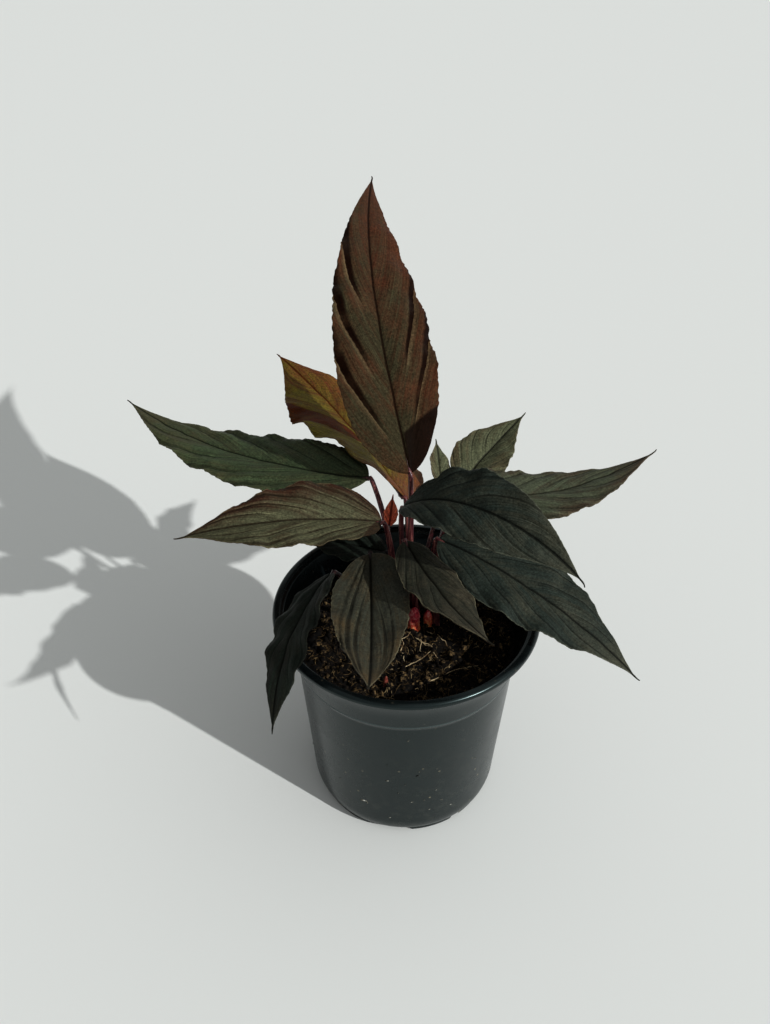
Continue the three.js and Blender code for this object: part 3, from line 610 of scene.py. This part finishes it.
def stalkSkin(name, look):
    # Fleshy leaf stalk, smooth and juicy under a thin skin: lengthwise streaks of wine red and
    # pink, fine dark specks and a soft broken highlight
    material, add = startMaterial(name)
    place = add("TexCoord").outputs["Object"]
    # streaks about 1 mm wide and 16 mm long
    stretched = add("Mapping", {"Scale": (900.0, 900.0, 60.0), "Vector": place})
    streaks = add("TexNoise", {"Scale": 1.0, "Detail": 4.0, "Roughness": 0.6, "Vector": stretched})
    ramp = [(0.3, look["dark"]), (0.5, look["red"]), (0.72, look["pink"])]
    tone = add("ValToRGB", {"ramp": ramp, 0: streaks})
    specks = add("TexNoise", {"Scale": 1300.0, "Detail": 2.0, "Vector": place})
    speckShare = add("MapRange", {0: specks, 1: 0.56, 2: 0.66, 3: 0.0, 4: 0.75})
    speckled = add("Mix", {"data_type": "RGBA", 0: speckShare, 6: tone, 7: look["speck"]})
    bump = add("Bump", {"Strength": 0.35, "Distance": 0.0003, "Height": streaks})
    surface = add("BsdfPrincipled", {"Roughness": 0.32, "IOR": 1.4, "Subsurface Weight": 0.04,
                                     "Subsurface Radius": (0.002, 0.0006, 0.0004),
                                     "Base Color": speckled, "Normal": bump})
    add("OutputMaterial", {"Surface": surface})
    return material


skins = {key: leafSkin("leafVelvet_" + key, look) for key, look in leafLooks.items()}
stalkSkins = {name: stalkSkin(name, look) for name, look in stalkLooks.items()}
for number, leaf in enumerate(leafPieces):
    look = leafLooks[leaf["look"]]
    placePiece(bladePiece(leaf, 11 * number + 3), skins[leaf["look"]], look["slot"], "blade_" + leaf["name"])
    placePiece(stalkPiece(leaf, 7 * number + 5), stalkSkins[look["stalk"]], "stalk", "stalk_" + leaf["name"])
print("leaves made:", len(leafPieces))

# Pot: same section as the CAD, with its edges rounded
potShape = dict(height=108, rimRadius=60, lipWidth=3.2, lipHeight=2.6, ledgeDrop=1.6, ledgeWidth=1.6,
                rollWidth=1.9, rollHeight=1.5, flareRadius=56.6, flareHollow=0.9, lineHeight=83.5,
                lineRadius=50.4, lineSwell=1.0, wallFootRadius=45.4, cornerHeight=12, footRadius=42.6,
                footWidth=2.2, footHeight=2.8, edgeRound=0.6, wall=1.4, floor=1.6, hubRadius=8,
                hubStep=2.4, wideNotch=27, narrowNotch=5, notchEase=0.6, wideHeading=-100,
                drainRadius=3, drainInset=10, drainSpread=12, sides=288, filletSteps=5, sway=0.0012,
                sharpAngle=38)
# line is the colour of a painted highlight along the moulded line
potLook = dict(black="#080b0c", worn="#0e1516", line="#3c4444", sheen="#dcf6f4", dust="#5c5c52",
               speck="#a89c80")


def roundedProfile(corners, steps):
    # A profile of (radius, height, fillet) corners: each corner with a fillet becomes a quadratic
    # curve between the places that lie the fillet's length away from it on either side
    corners = np.asarray(corners, float)
    parts = [corners[:1, :2]]
    s = np.linspace(0, 1, steps + 1)[:, None]
    for before, corner, after in zip(corners[:-2], corners[1:-1], corners[2:]):
        here = corner[:2]
        back = before[:2] - here
        on = after[:2] - here
        fillet = min(corner[2], 0.48 * np.linalg.norm(back), 0.48 * np.linalg.norm(on))
        if fillet > 0:
            start = here + unit(back) * fillet
            end = here + unit(on) * fillet
            parts.append((1 - s) ** 2 * start + 2 * s * (1 - s) * here + s ** 2 * end)
        else:
            parts.append(here[None])
    parts.append(corners[-1:, :2])
    return np.vstack(parts)


def potProfile():
    # From the middle of the underside out, up the wall, over the lip and down the inside again
    p = potShape
    lipFoot = p["height"] - p["lipHeight"]
    ledge = p["height"] - p["ledgeDrop"]
    flareHeight = (p["lineHeight"] + lipFoot) / 2 + p["lineSwell"]
    flareMiddle = (p["lineRadius"] + p["flareRadius"]) / 2 - p["flareHollow"]
    lipInside = p["rimRadius"] - p["lipWidth"]
    footInside = p["footRadius"] - p["footWidth"]
    floorTop = p["footHeight"] + p["floor"]
    line = p["lineHeight"]
    turn = np.linspace(0, np.pi / 2, 10)
    corner = [(p["footRadius"] + (p["wallFootRadius"] - p["footRadius"]) * math.sin(a),
               p["footHeight"] + (p["cornerHeight"] - p["footHeight"]) * (1 - math.cos(a)), 0) for a in turn]
    roll = [(p["rimRadius"] - p["rollWidth"] * (1 - math.cos(a)),
             p["height"] - p["rollHeight"] * (1 - math.sin(a)), 0) for a in turn]
    outside = [(0.01, 0, 0), (p["hubRadius"], 0, 0.3), (p["hubRadius"], p["hubStep"], 0.3),
               (footInside, p["hubStep"], 0.3), (footInside, 0, 0.4), (p["footRadius"], 0, p["edgeRound"]),
               *corner, (p["lineRadius"] - 0.1, line - 1.5, 0.7),
               (p["lineRadius"] + p["lineSwell"] / 2, line + 0.1, 0.2),
               (p["lineRadius"] + 0.4, line + 0.6, 0.2), (flareMiddle, flareHeight, 5),
               (p["flareRadius"], lipFoot, 0.5), (p["rimRadius"], lipFoot, 0.4), *roll]
    inside = [(lipInside, p["height"], 0.35), (lipInside, ledge, 0.2),
              (lipInside - p["ledgeWidth"], ledge - p["edgeRound"], 0.5),
              (flareMiddle - p["wall"], flareHeight, 5), (p["lineRadius"] - p["wall"], line, 1),
              (p["wallFootRadius"] - p["wall"], p["cornerHeight"], 3),
              (footInside, floorTop + p["wall"], 1), (footInside - p["wall"], floorTop, 0.6),
              (0.01, floorTop, 0)]
    return roundedProfile(outside + inside, p["filletSteps"])


def potPiece():
    # The profile turned round the axis. Where the foot ring has a notch, its underside is lifted to
    # the foot's height; the drain holes are cut out of the floor afterwards.
    p = potShape
    profile = potProfile()
    radius, height = profile[:, :1], profile[:, 1:]
    turn = 2 * np.pi * np.arange(p["sides"]) / p["sides"]
    degrees = np.degrees(turn)[None]
    offWide = np.abs((degrees - p["wideHeading"] + 45) % 90 - 45)
    offNarrow = np.abs((degrees - p["wideHeading"]) % 90 - 45)
    notch = np.maximum(*(smoothStep(width / 2 + p["notchEase"], width / 2 - p["notchEase"], off)
                         for width, off in ((p["wideNotch"], offWide), (p["narrowNotch"], offNarrow))))
    onFoot = (radius > p["footRadius"] - p["footWidth"] - 0.5) & (height < p["footHeight"])
    lifted = np.where(onFoot, height + (p["footHeight"] - height) * notch, height)
    # soft plastic is never quite round at the top
    sway = 1 + p["sway"] * np.sin(2 * turn + 0.6)[None] * smoothStep(60, p["height"], height)
    points = circlePoints(radius * sway, turn, lifted).reshape(-1, 3)
    points = np.vstack([points, [[0, 0, profile[0, 1]], [0, 0, profile[-1, 1]]]])
    shell = makeMesh("pot_shell", points, *closedRings(len(profile), p["sides"], flipped=True))
    shell.data.set_sharp_from_angle(angle=math.radians(p["sharpAngle"]))
    return shell


def drillDrains(shell):
    # Eight round holes through the floor, cut with one mesh of short rods
    p = potShape
    angle = np.radians([p["wideHeading"] + 90 * quarter + spread for quarter in range(4)
                        for spread in (-p["drainSpread"], p["drainSpread"])])
    place = circlePoints(p["footRadius"] - p["drainInset"], angle, 0.0)
    paths = place[:, None] + np.outer([-4.0, 0.0, 8.0], [0, 0, 1])
    radii = np.full(paths.shape[:2], float(p["drainRadius"]))
    rods = makeMesh("drainRods", *closedTubes(paths, radii, 32, (1, 0, 0)))
    cut = shell.modifiers.new("drains", "BOOLEAN")
    cut.object = rods
    cut.operation = "DIFFERENCE"
    cut.solver = "EXACT"
    seen = shell.evaluated_get(bpy.context.evaluated_depsgraph_get())
    drilled = bpy.data.meshes.new_from_object(seen)
    shell.modifiers.remove(cut)
    shell.data = drilled
    bpy.data.objects.remove(rods)
    return shell


def mouldedPlastic(name, look):
    # Injection-moulded black polypropylene nursery pot: smooth but not polished, so it shows a wide
    # soft highlight with a blue-grey cast, faint scuffs, and dust and dried splashes low down
    material, add = startMaterial(name)
    place = add("TexCoord").outputs["Object"]
    # handling marks, about 25 mm, and dust film in patches of 4 mm
    mottle = add("TexNoise", {"Scale": 40.0, "Detail": 5.0, "Roughness": 0.65, "Vector": place})
    dust = add("TexNoise", {"Scale": 220.0, "Detail": 8.0, "Roughness": 0.75, "Vector": place})
    height = add("SeparateXYZ", {0: place}).outputs[2]
    low = add("MapRange", {0: height, 1: 0.0, 2: 0.075, 3: 0.3, 4: 0.05})
    dustTone = add("MapRange", {0: dust, 1: 0.5, 2: 0.75, 3: 0.0, 4: 1.0})
    dustShare = add("Math", {"operation": "MULTIPLY", 0: low, 1: dustTone})
    spots = add("TexVoronoi", {"Scale": 160.0, "Randomness": 1.0, "Vector": place})
    spotTone = add("MapRange", {0: spots, 1: 0.06, 2: 0.11, 3: 0.55, 4: 0.0})
    spotLow = add("MapRange", {0: height, 1: 0.01, 2: 0.07, 3: 1.0, 4: 0.12})
    spotShare = add("Math", {"operation": "MULTIPLY", 0: spotTone, 1: spotLow})
    # a painted highlight along the moulded line: pale where its bead would catch the light
    aboveLine = add("Math", {"operation": "SUBTRACT", 0: height, 1: (potShape["lineHeight"] + 0.3) * mm})
    offLine = add("Math", {"operation": "ABSOLUTE", 0: aboveLine})
    paintedLineHighlightShare = add("MapRange", {0: offLine, 1: 0.0002, 2: 0.0005, 3: 1.0, 4: 0.0})
    colour = add("Mix", {"data_type": "RGBA", 0: mottle, 6: look["black"], 7: look["worn"]})
    for share, tone in ((dustShare, "dust"), (spotShare, "speck"), (paintedLineHighlightShare, "line")):
        colour = add("Mix", {"data_type": "RGBA", 0: share, 6: colour, 7: look[tone]})
    rough = add("MapRange", {0: mottle, 1: 0.3, 2: 0.7, 3: 0.2, 4: 0.32})
    fine = add("TexNoise", {"Scale": 1400.0, "Detail": 2.0, "Vector": place})
    bump = add("Bump", {"Strength": 0.12, "Distance": 0.0001, "Height": fine})
    surface = add("BsdfPrincipled", {"IOR": 1.49, "Specular Tint": look["sheen"], "Base Color": colour,
                                     "Roughness": rough, "Normal": bump})
    add("OutputMaterial", {"Surface": surface})
    return material


potMaterial = mouldedPlastic("mouldedBlackPolypropylene", potLook)
pot = drillDrains(potPiece())
placePiece(pot, potMaterial, "pot_plastic", "pot")
print("pot made:", len(pot.data.polygons), "faces")

# Potting mix: the surface and what lies on it. skirt is the mix's outline inside the pot, as
# (radius, height), and the looks go from the darkest to the lightest tone of each finish, laid out by noise
mixShape = dict(level=90, lumpHeight=0.8, calmRadius=48.6, edgeRadius=50.3, rings=110, sides=340,
                skirt=((48.6, 83.5), (43.6, 12.5), (36.6, 4.7), (0.2, 4.7)), lumpRings=4, lumpSides=7,
                crumbs=2300, crumbSizes=(0.45, 2.1), crumbSquash=0.28, crumbRoughness=0.28,
                crumbLift=0.25, crumbReach=48.6, fibres=1000, fibreRadii=(0.07, 0.2),
                fibreLengths=(2, 8), fibreWander=1.2, fibreLift=0.25, fibreArch=0.5, fibreReach=46.0,
                fibreSteps=9, fibreSides=5, wallReach=48.8, rootRadius=0.28, rootThinning=0.14,
                rootWriggle=0.9, rootLift=0.35, rootRoll=0.5, rootSteps=30, rootSides=8,
                bitBreadth=0.35, bitHeight=0.22)
mixLooks = {
    "peatMixBed": dict(tones=("#040303", "#100d0a", "#403220"), scale=520.0, detail=6.0),
    "peatCrumbs": dict(tones=("#040303", "#1d1711", "#a3885e"), scale=330.0, detail=4.0),
    "coirFibre": dict(tones=("#100d0a", "#6a5638", "#cdb68a"), scale=160.0, detail=3.0),
    "paleRootSkin": dict(tones=("#6b5038", "#c4b28e", "#c4b28e"), scale=260.0, detail=4.0),
    "driedSplashes": dict(tones=("#040303", "#7d7b70", "#d6d5cc"), scale=700.0, detail=2.0),
}

# Thin pale roots that run over the mix in front of the crown: start, end and sideways bow
rootRuns = [((-2.8, -8.8), (2.9, -18.1), -1.6), ((-7.4, -22.3), (13.8, -11.9), -1.8),
            ((9, -32), (33, -21), 2.0), ((6, -6), (14, -20), 2.0), ((3, -3), (7, -13), 1.2),
            ((4.5, -2), (12, -11), -1.4), ((10, 1), (18, -9), 1.6), ((2, -3), (-3, -14), -1.2),
            ((0, 14), (-14, 32), 3.0), ((9, 12), (27, 26), -3.0)]

# Bits of the mix that were splashed on the pot and dried there: heading round the pot in degrees,
# height up the wall and half length, in mm, and how far each one is tipped from level
wallBits = [
    (-100.5, 43.3, 0.9, 5), (-115.7, 21.8, 1.6, 14), (-113.2, 21.6, 1.3, -60), (-99.2, 13.0, 0.7, 30),
    (-89.7, 74.4, 0.8, 50), (-84.2, 48.0, 0.9, 20), (-83.0, 51.0, 0.6, 0), (-100.4, 55.6, 0.3, 0),
    (-86.5, 27.0, 0.7, 10), (-79.5, 27.6, 0.6, -20), (-68.8, 24.5, 0.6, 0), (-72.9, 34.0, 0.5, 40),
    (-90.7, 41.1, 0.4, 0), (-94.5, 34.3, 0.5, -30), (-76.0, 19.0, 0.6, 15), (-62.0, 17.0, 0.5, 0),
    (-131.0, 30.0, 0.6, 25), (-48.0, 45.0, 0.4, 0), (-99.0, 104.6, 0.8, 35), (-96.1, 102.4, 0.7, -20),
    (-85.4, 104.2, 0.5, 0), (-105.5, 104.9, 0.8, 25), (-118.0, 103.6, 0.6, 0), (-39.6, 102.6, 1.0, -50),
    (-46.0, 101.6, 0.6, 20), (-58.0, 103.2, 0.7, 60), (-71.0, 104.0, 0.5, -10), (100.0, 40.0, 0.8, 20),
    (55.0, 28.0, 0.6, -15), (160.0, 35.0, 0.7, 40), (20.0, 60.0, 0.5, 0), (-170.0, 22.0, 0.9, -25),
]


def mixHeight(x, y):
    # The CAD's crossed waves, a low mound round the crown, and three sizes of value noise
    waves = (np.sin(0.21 * x + 1.3) * np.cos(0.17 * y - 0.4) + 0.6 * np.sin(0.43 * x - 0.31 * y)
             + 0.5 * np.cos(0.37 * y + 0.24 * x + 2))
    distance = np.hypot(x, y)
    calm = np.clip(4 * (1 - distance / mixShape["calmRadius"]), 0, 1)
    rough = (0.9 * softNoise(x / 5.5, y / 5.5, 71) + 0.6 * softNoise(x / 2.4, y / 2.4, 72)
             + 0.42 * np.abs(softNoise(x / 1.1, y / 1.1, 73)))
    mound = 1.4 * np.exp(-(np.hypot(x - 3, y - 5) / 16) ** 2)
    return mixShape["level"] + mixShape["lumpHeight"] * waves * calm + rough + mound


def mixPiece():
    # Rings from the middle to the wall, then a skirt down inside the pot and a flat bottom
    shape = mixShape
    turn = 2 * np.pi * np.arange(shape["sides"]) / shape["sides"]
    x, y = polar(shape["edgeRadius"] * (np.linspace(0.004, 1, shape["rings"]) ** 0.8)[:, None], turn)
    top = np.stack([x, y, mixHeight(x, y)], axis=-1)
    skirt = np.array(shape["skirt"])
    points = np.concatenate([top, circlePoints(skirt[:, :1], turn, skirt[:, 1:])])
    poles = [[0, 0, top[0, :, 2].mean()], [0, 0, skirt[-1, 1]]]
    return makeMesh("mix_bed", np.vstack([points.reshape(-1, 3), poles]),
                    *closedRings(len(points), shape["sides"]))


def placedLumps(places, arms, rough=1):
    # A ball of a few faces at each place, stretched along three arms:
    # place + (x * first arm + y * second arm + z * third arm) * rough
    rings, sides = mixShape["lumpRings"], mixShape["lumpSides"]
    rise = np.pi * (np.arange(rings) + 1) / (rings + 1)
    turn = 2 * np.pi * np.arange(sides) / sides
    ball = circlePoints(np.sin(rise)[:, None], turn, np.cos(rise)[:, None]).reshape(-1, 3)
    ball = np.vstack([ball, [0, 0, 1], [0, 0, -1]])
    stretched = sum(ball[None, :, axis:axis + 1] * arm[:, None] for axis, arm in enumerate(arms)) * rough
    faces = [repeatFaces(part, len(places), len(ball)) for part in closedRings(rings, sides)]
    return (places[:, None] + stretched).reshape(-1, 3), *faces


def crumbPiece():
    # Crumbs of peat and bark lie on the bed, most of them small: size = low + (high - low) * r^3.
    # Each one is squashed by its own shares along three random axes and roughened.
    shape = mixShape
    count = shape["crumbs"]
    source = np.random.default_rng(5)
    low, high = shape["crumbSizes"]
    sizes = low + (high - low) * source.random(count) ** 3
    radius = (shape["crumbReach"] - sizes) * np.sqrt(source.random(count))
    x, y = polar(radius, source.uniform(0, 2 * np.pi, count))
    places = np.stack([x, y, mixHeight(x, y) + shape["crumbLift"] * sizes], axis=-1)
    source = np.random.default_rng(6)
    axes = unit(source.normal(size=(count, 3, 3)))
    first = axes[:, 0]
    second = unit(axes[:, 1] - (axes[:, 1] * first).sum(-1, keepdims=True) * first)
    scale = sizes[:, None] * source.uniform(shape["crumbSquash"], 1.0, size=(count, 3))
    corners = shape["lumpRings"] * shape["lumpSides"] + 2
    roughness = shape["crumbRoughness"]
    rough = 1 + source.uniform(-roughness, roughness, size=(count, corners, 1))
    arms = [first * scale[:, :1], second * scale[:, 1:2], np.cross(first, second) * scale[:, 2:]]
    return makeMesh("mix_crumbs", *placedLumps(places, arms, rough))


def fibrePiece():
    # Loose strands on the bed: each heading wanders as a slow sine, and the height follows the bed
    shape = mixShape
    source = np.random.default_rng(8)
    column = (shape["fibres"], 1)
    steps = shape["fibreSteps"]
    length = source.uniform(*shape["fibreLengths"], column)
    startX, startY = polar(shape["fibreReach"] * np.sqrt(source.random(column)),
                           source.uniform(0, 2 * np.pi, column))
    heading = source.uniform(0, 2 * np.pi, column)
    s = np.linspace(0, 1, steps)[None]
    wander = shape["fibreWander"] * source.uniform(-1, 1, column)
    bend = heading + wander * np.sin(3 * s + source.uniform(0, 6, column))
    x = startX + np.cumsum(np.cos(bend) * length / steps, axis=1)
    y = startY + np.cumsum(np.sin(bend) * length / steps, axis=1)
    pull = np.minimum(1, shape["wallReach"] / np.hypot(x, y))  # none goes through the pot's wall
    x, y = x * pull, y * pull
    lift = shape["fibreLift"] + shape["fibreArch"] * source.random(column) * np.sin(np.pi * s)
    paths = np.stack([x, y, mixHeight(x, y) + lift], axis=-1)
    radii = source.uniform(*shape["fibreRadii"], column) * np.linspace(1, 0.5, steps)[None]
    return makeMesh("mix_fibres", *closedTubes(paths, radii, shape["fibreSides"], (0.1, 0.1, 1)))


def rootPiece():
    # Each root runs from start to end with a sideways bow of sin(pi s) and a small wriggle
    shape = mixShape
    s = np.linspace(0, 1, shape["rootSteps"])[None]
    start, end = [np.array([run[part] for run in rootRuns], float)[:, None] for part in (0, 1)]
    bow = np.array([run[2] for run in rootRuns])[:, None]
    number = np.arange(len(rootRuns))[:, None]
    direction = unit(end - start)
    sideways = np.stack([-direction[..., 1], direction[..., 0]], axis=-1)
    swing = bow * np.sin(np.pi * s) + shape["rootWriggle"] * softNoise(7 * s, 3.7 * number, 91)
    flat = start + (end - start) * s[..., None] + sideways * swing[..., None]
    height = (mixHeight(flat[..., 0], flat[..., 1]) + shape["rootLift"]
              + shape["rootRoll"] * softNoise(5 * s, 9.1 * number, 92))
    paths = np.concatenate([flat, height[..., None]], axis=-1)
    radii = np.broadcast_to(shape["rootRadius"] - shape["rootThinning"] * s, height.shape)
    return makeMesh("surface_roots", *closedTubes(paths, radii, shape["rootSides"], (0.1, 0.1, 1)))


def wallBitPiece():
    # Each bit is a lump drawn out along its length and pressed flat on the wall, whose radius is
    # read off between the foot of the wall, the moulded line and the lip
    p = potShape
    bits = np.array(wallBits)
    heading, height, size, tip = bits[:, 0], bits[:, 1], bits[:, 2:3], np.radians(bits[:, 3:])
    heading = np.radians(heading)
    radius = np.interp(height, [p["cornerHeight"], p["lineHeight"], p["height"] - p["lipHeight"]],
                       [p["wallFootRadius"], p["lineRadius"], p["flareRadius"]])
    outward = np.stack([np.cos(heading), np.sin(heading), 0 * heading], axis=-1)
    level = np.stack([-np.sin(heading), np.cos(heading), 0 * heading], axis=-1)
    long = level * np.cos(tip) + np.array([0, 0, 1.0]) * np.sin(tip)
    arms = [long * size, np.cross(outward, long) * size * mixShape["bitBreadth"],
            outward * mixShape["bitHeight"]]
    places = outward * radius[:, None] + np.outer(height, [0, 0, 1])
    return makeMesh("wall_bits", *placedLumps(places, arms))


def pottingMix(name):
    # Peat and coir, crumbly and dry on top: near-black hollows, brown crumbs, tan where it has
    # dried, with no shine at all
    look = mixLooks[name]
    material, add = startMaterial(name)
    place = add("TexCoord").outputs["Object"]
    patches = add("TexNoise", {"Scale": look["scale"], "Detail": look["detail"], "Roughness": 0.7,
                               "Vector": place})
    tone = add("ValToRGB", {"ramp": list(zip((0.38, 0.54, 0.72), look["tones"])), 0: patches})
    # grit of about 0.6 mm
    grit = add("TexNoise", {"Scale": 1600.0, "Detail": 4.0, "Roughness": 0.7, "Vector": place})
    bump = add("Bump", {"Strength": 0.8, "Distance": 0.0006, "Height": grit})
    surface = add("BsdfPrincipled", {"Roughness": 0.92, "IOR": 1.4, "Specular IOR Level": 0.25,
                                     "Base Color": tone, "Normal": bump})
    add("OutputMaterial", {"Surface": surface})
    return material


placePiece(mixPiece(), pottingMix("peatMixBed"), "potting_mix", "potting_mix")
placePiece(crumbPiece(), pottingMix("peatCrumbs"), "potting_mix")
placePiece(fibrePiece(), pottingMix("coirFibre"), "potting_mix")
placePiece(rootPiece(), pottingMix("paleRootSkin"), "crown")
print("potting mix made")
placePiece(wallBitPiece(), pottingMix("driedSplashes"), "potting_mix")
print("dried bits on the pot:", len(wallBits))

# Stubs of the creeping stem, as in the CAD
stubShape = dict(steps=60, sides=40, scarHeight=0.06, knobWidth=1.6, knobLength=2.2)
stubPieces = [
    dict(name="crown_main", place=(0.4, -5.6), radius=3.0, height=14, lean=(0.4, 0.4), rings=5,
         knobs=0.09, look="fleshyStemRedOrange"),
    dict(name="crown_side", place=(7, -2.2), radius=2.3, height=9, lean=(0.3, 0.4), rings=4,
         knobs=0.09, look="fleshyStemRedOrange"),
    dict(name="sprout", place=(-12.6, -39.6), radius=1.2, height=6, lean=(0.4, 0.2), rings=2,
         knobs=0.04, look="fleshySproutPink"),
]
stemLooks = {
    "fleshyStemRedOrange": dict(dark="#7c1826", red="#cc3c4c", pink="#f0a4a0", orange="#de7a38",
                                pale="#ecc47c"),
    "fleshySproutPink": dict(dark="#45201a", red="#7c3c34", pink="#b57a6c", orange="#a05c4a",
                             pale="#bd9078"),
}


def stubPiece(stub, seed):
    # A short stem: the CAD's radius with a dome over its last third, leaf scars as sharp rings,
    # and knobs of value noise
    shape = stubShape
    base = crownFoot + [*stub["place"], 0]
    top = np.array([*(base[:2] + stub["lean"]), mixShape["level"] + stub["height"]])
    s = np.linspace(0, 1, shape["steps"])
    path = base + (top - base) * s[:, None]
    dome = np.sqrt(np.clip(1 - np.clip(3 * s - 2, 0, 1) ** 2, 0.004, 1))
    scars = shape["scarHeight"] * np.abs(np.sin(np.pi * stub["rings"] * s * (1 + 0.15 * s))) ** 0.5
    radius = stub["radius"] * dome * (0.95 + 0.05 * np.cos(14 * s)) * (0.97 + scars)
    tube = roughTube(path, radius, shape["sides"], (1, 0, 0), seed,
                     stub["knobs"], shape["knobWidth"], shape["knobLength"])
    return makeMesh(stub["name"] + "_skin", *tube)


def stemSkin(name, look):
    # Fleshy creeping stem with a thin shiny skin: wine red with pink blotches at the top, orange
    # and straw yellow where it comes out of the mix
    material, add = startMaterial(name)
    place = add("TexCoord").outputs["Object"]
    blotches = add("TexNoise", {"Scale": 620.0, "Detail": 5.0, "Roughness": 0.65, "Vector": place})
    highRamp = [(0.34, look["dark"]), (0.5, look["red"]), (0.7, look["pink"])]
    lowRamp = [(0.34, look["red"]), (0.5, look["orange"]), (0.68, look["pale"])]
    high, low = [add("ValToRGB", {"ramp": ramp, 0: blotches}) for ramp in (highRamp, lowRamp)]
    height = add("MapRange", {0: add("SeparateXYZ", {0: place}).outputs[2], 1: 0.091, 2: 0.099})
    tone = add("Mix", {"data_type": "RGBA", 0: height, 6: low, 7: high})
    bump = add("Bump", {"Strength": 0.6, "Distance": 0.0006, "Height": blotches})
    surface = add("BsdfPrincipled", {"Roughness": 0.3, "IOR": 1.4, "Subsurface Weight": 0.1,
                                     "Subsurface Radius": (0.002, 0.0006, 0.0004),
                                     "Base Color": tone, "Normal": bump})
    add("OutputMaterial", {"Surface": surface})
    return material


stemSkins = {name: stemSkin(name, look) for name, look in stemLooks.items()}
for number, stub in enumerate(stubPieces):
    placePiece(stubPiece(stub, 50 + number), stemSkins[stub["look"]], "crown", stub["name"])
print("crown made")

# Stage: floor, light and camera
stageLook = dict(floor="#dcdedb", floorSize=9000.0, sunDirection=(1.27, -0.93, 1.0), sunPower=3.05,
                 sunWidth=0.8, skyColour="#f4f6f7", skyPower=0.6, skyLeft=0.45, skyRight=1.45,
                 contrast=0.87)
cameraSettings = dict(lens=32.6, pitch=36.9, place=(-9.6, -308.5, 391.4))


def makeFloor():
    size = stageLook["floorSize"]
    corners = [(-size, -size, 0), (size, -size, 0), (size, size, 0), (-size, size, 0)]
    floor = makeMesh("studio_floor", corners, np.array([[0, 1, 2, 3]]))
    material, add = startMaterial("paintedStudioFloor")
    surface = add("BsdfPrincipled", {"Base Color": stageLook["floor"], "Roughness": 0.9,
                                     "Specular IOR Level": 0.1})
    add("OutputMaterial", {"Surface": surface})
    floor.data.materials.append(material)


def makeLight():
    # One sun for the window's light, and a sky that is lighter on the right
    sun = bpy.data.lights.new("studioKey", "SUN")
    sun.energy = stageLook["sunPower"]
    sun.angle = math.radians(stageLook["sunWidth"])
    lamp = bpy.data.objects.new("studioKey", sun)
    lamp.rotation_euler = Vector(stageLook["sunDirection"]).to_track_quat("Z", "Y").to_euler()
    bpy.context.scene.collection.objects.link(lamp)
    world = bpy.data.worlds.new("studioSky")
    world.use_nodes = True
    tree = world.node_tree
    split = addNode(tree, "SeparateXYZ", {0: addNode(tree, "TexCoord").outputs["Generated"]})
    low, high = [stageLook[side] * stageLook["skyPower"] for side in ("skyLeft", "skyRight")]
    power = addNode(tree, "MapRange", {0: split.outputs[0], 1: -1.0, 2: 1.0, 3: low, 4: high})
    background = tree.nodes["Background"]
    background.inputs[0].default_value = linearColour(stageLook["skyColour"])
    tree.links.new(power.outputs[0], background.inputs[1])
    bpy.context.scene.world = world
    bpy.context.scene.view_settings.view_transform = "Standard"
    bpy.context.scene.view_settings.gamma = stageLook["contrast"]


def makeCamera():
    data = bpy.data.cameras.new("studioCamera")
    data.lens = cameraSettings["lens"]
    data.sensor_width = 36
    data.sensor_fit = "AUTO"
    data.clip_end = 50
    camera = bpy.data.objects.new("studioCamera", data)
    camera.location = [value * mm for value in cameraSettings["place"]]
    camera.rotation_euler = (math.radians(90 - cameraSettings["pitch"]), 0, 0)
    bpy.context.scene.collection.objects.link(camera)
    bpy.context.scene.camera = camera


makeFloor()
makeLight()
makeCamera()
print("stage made")
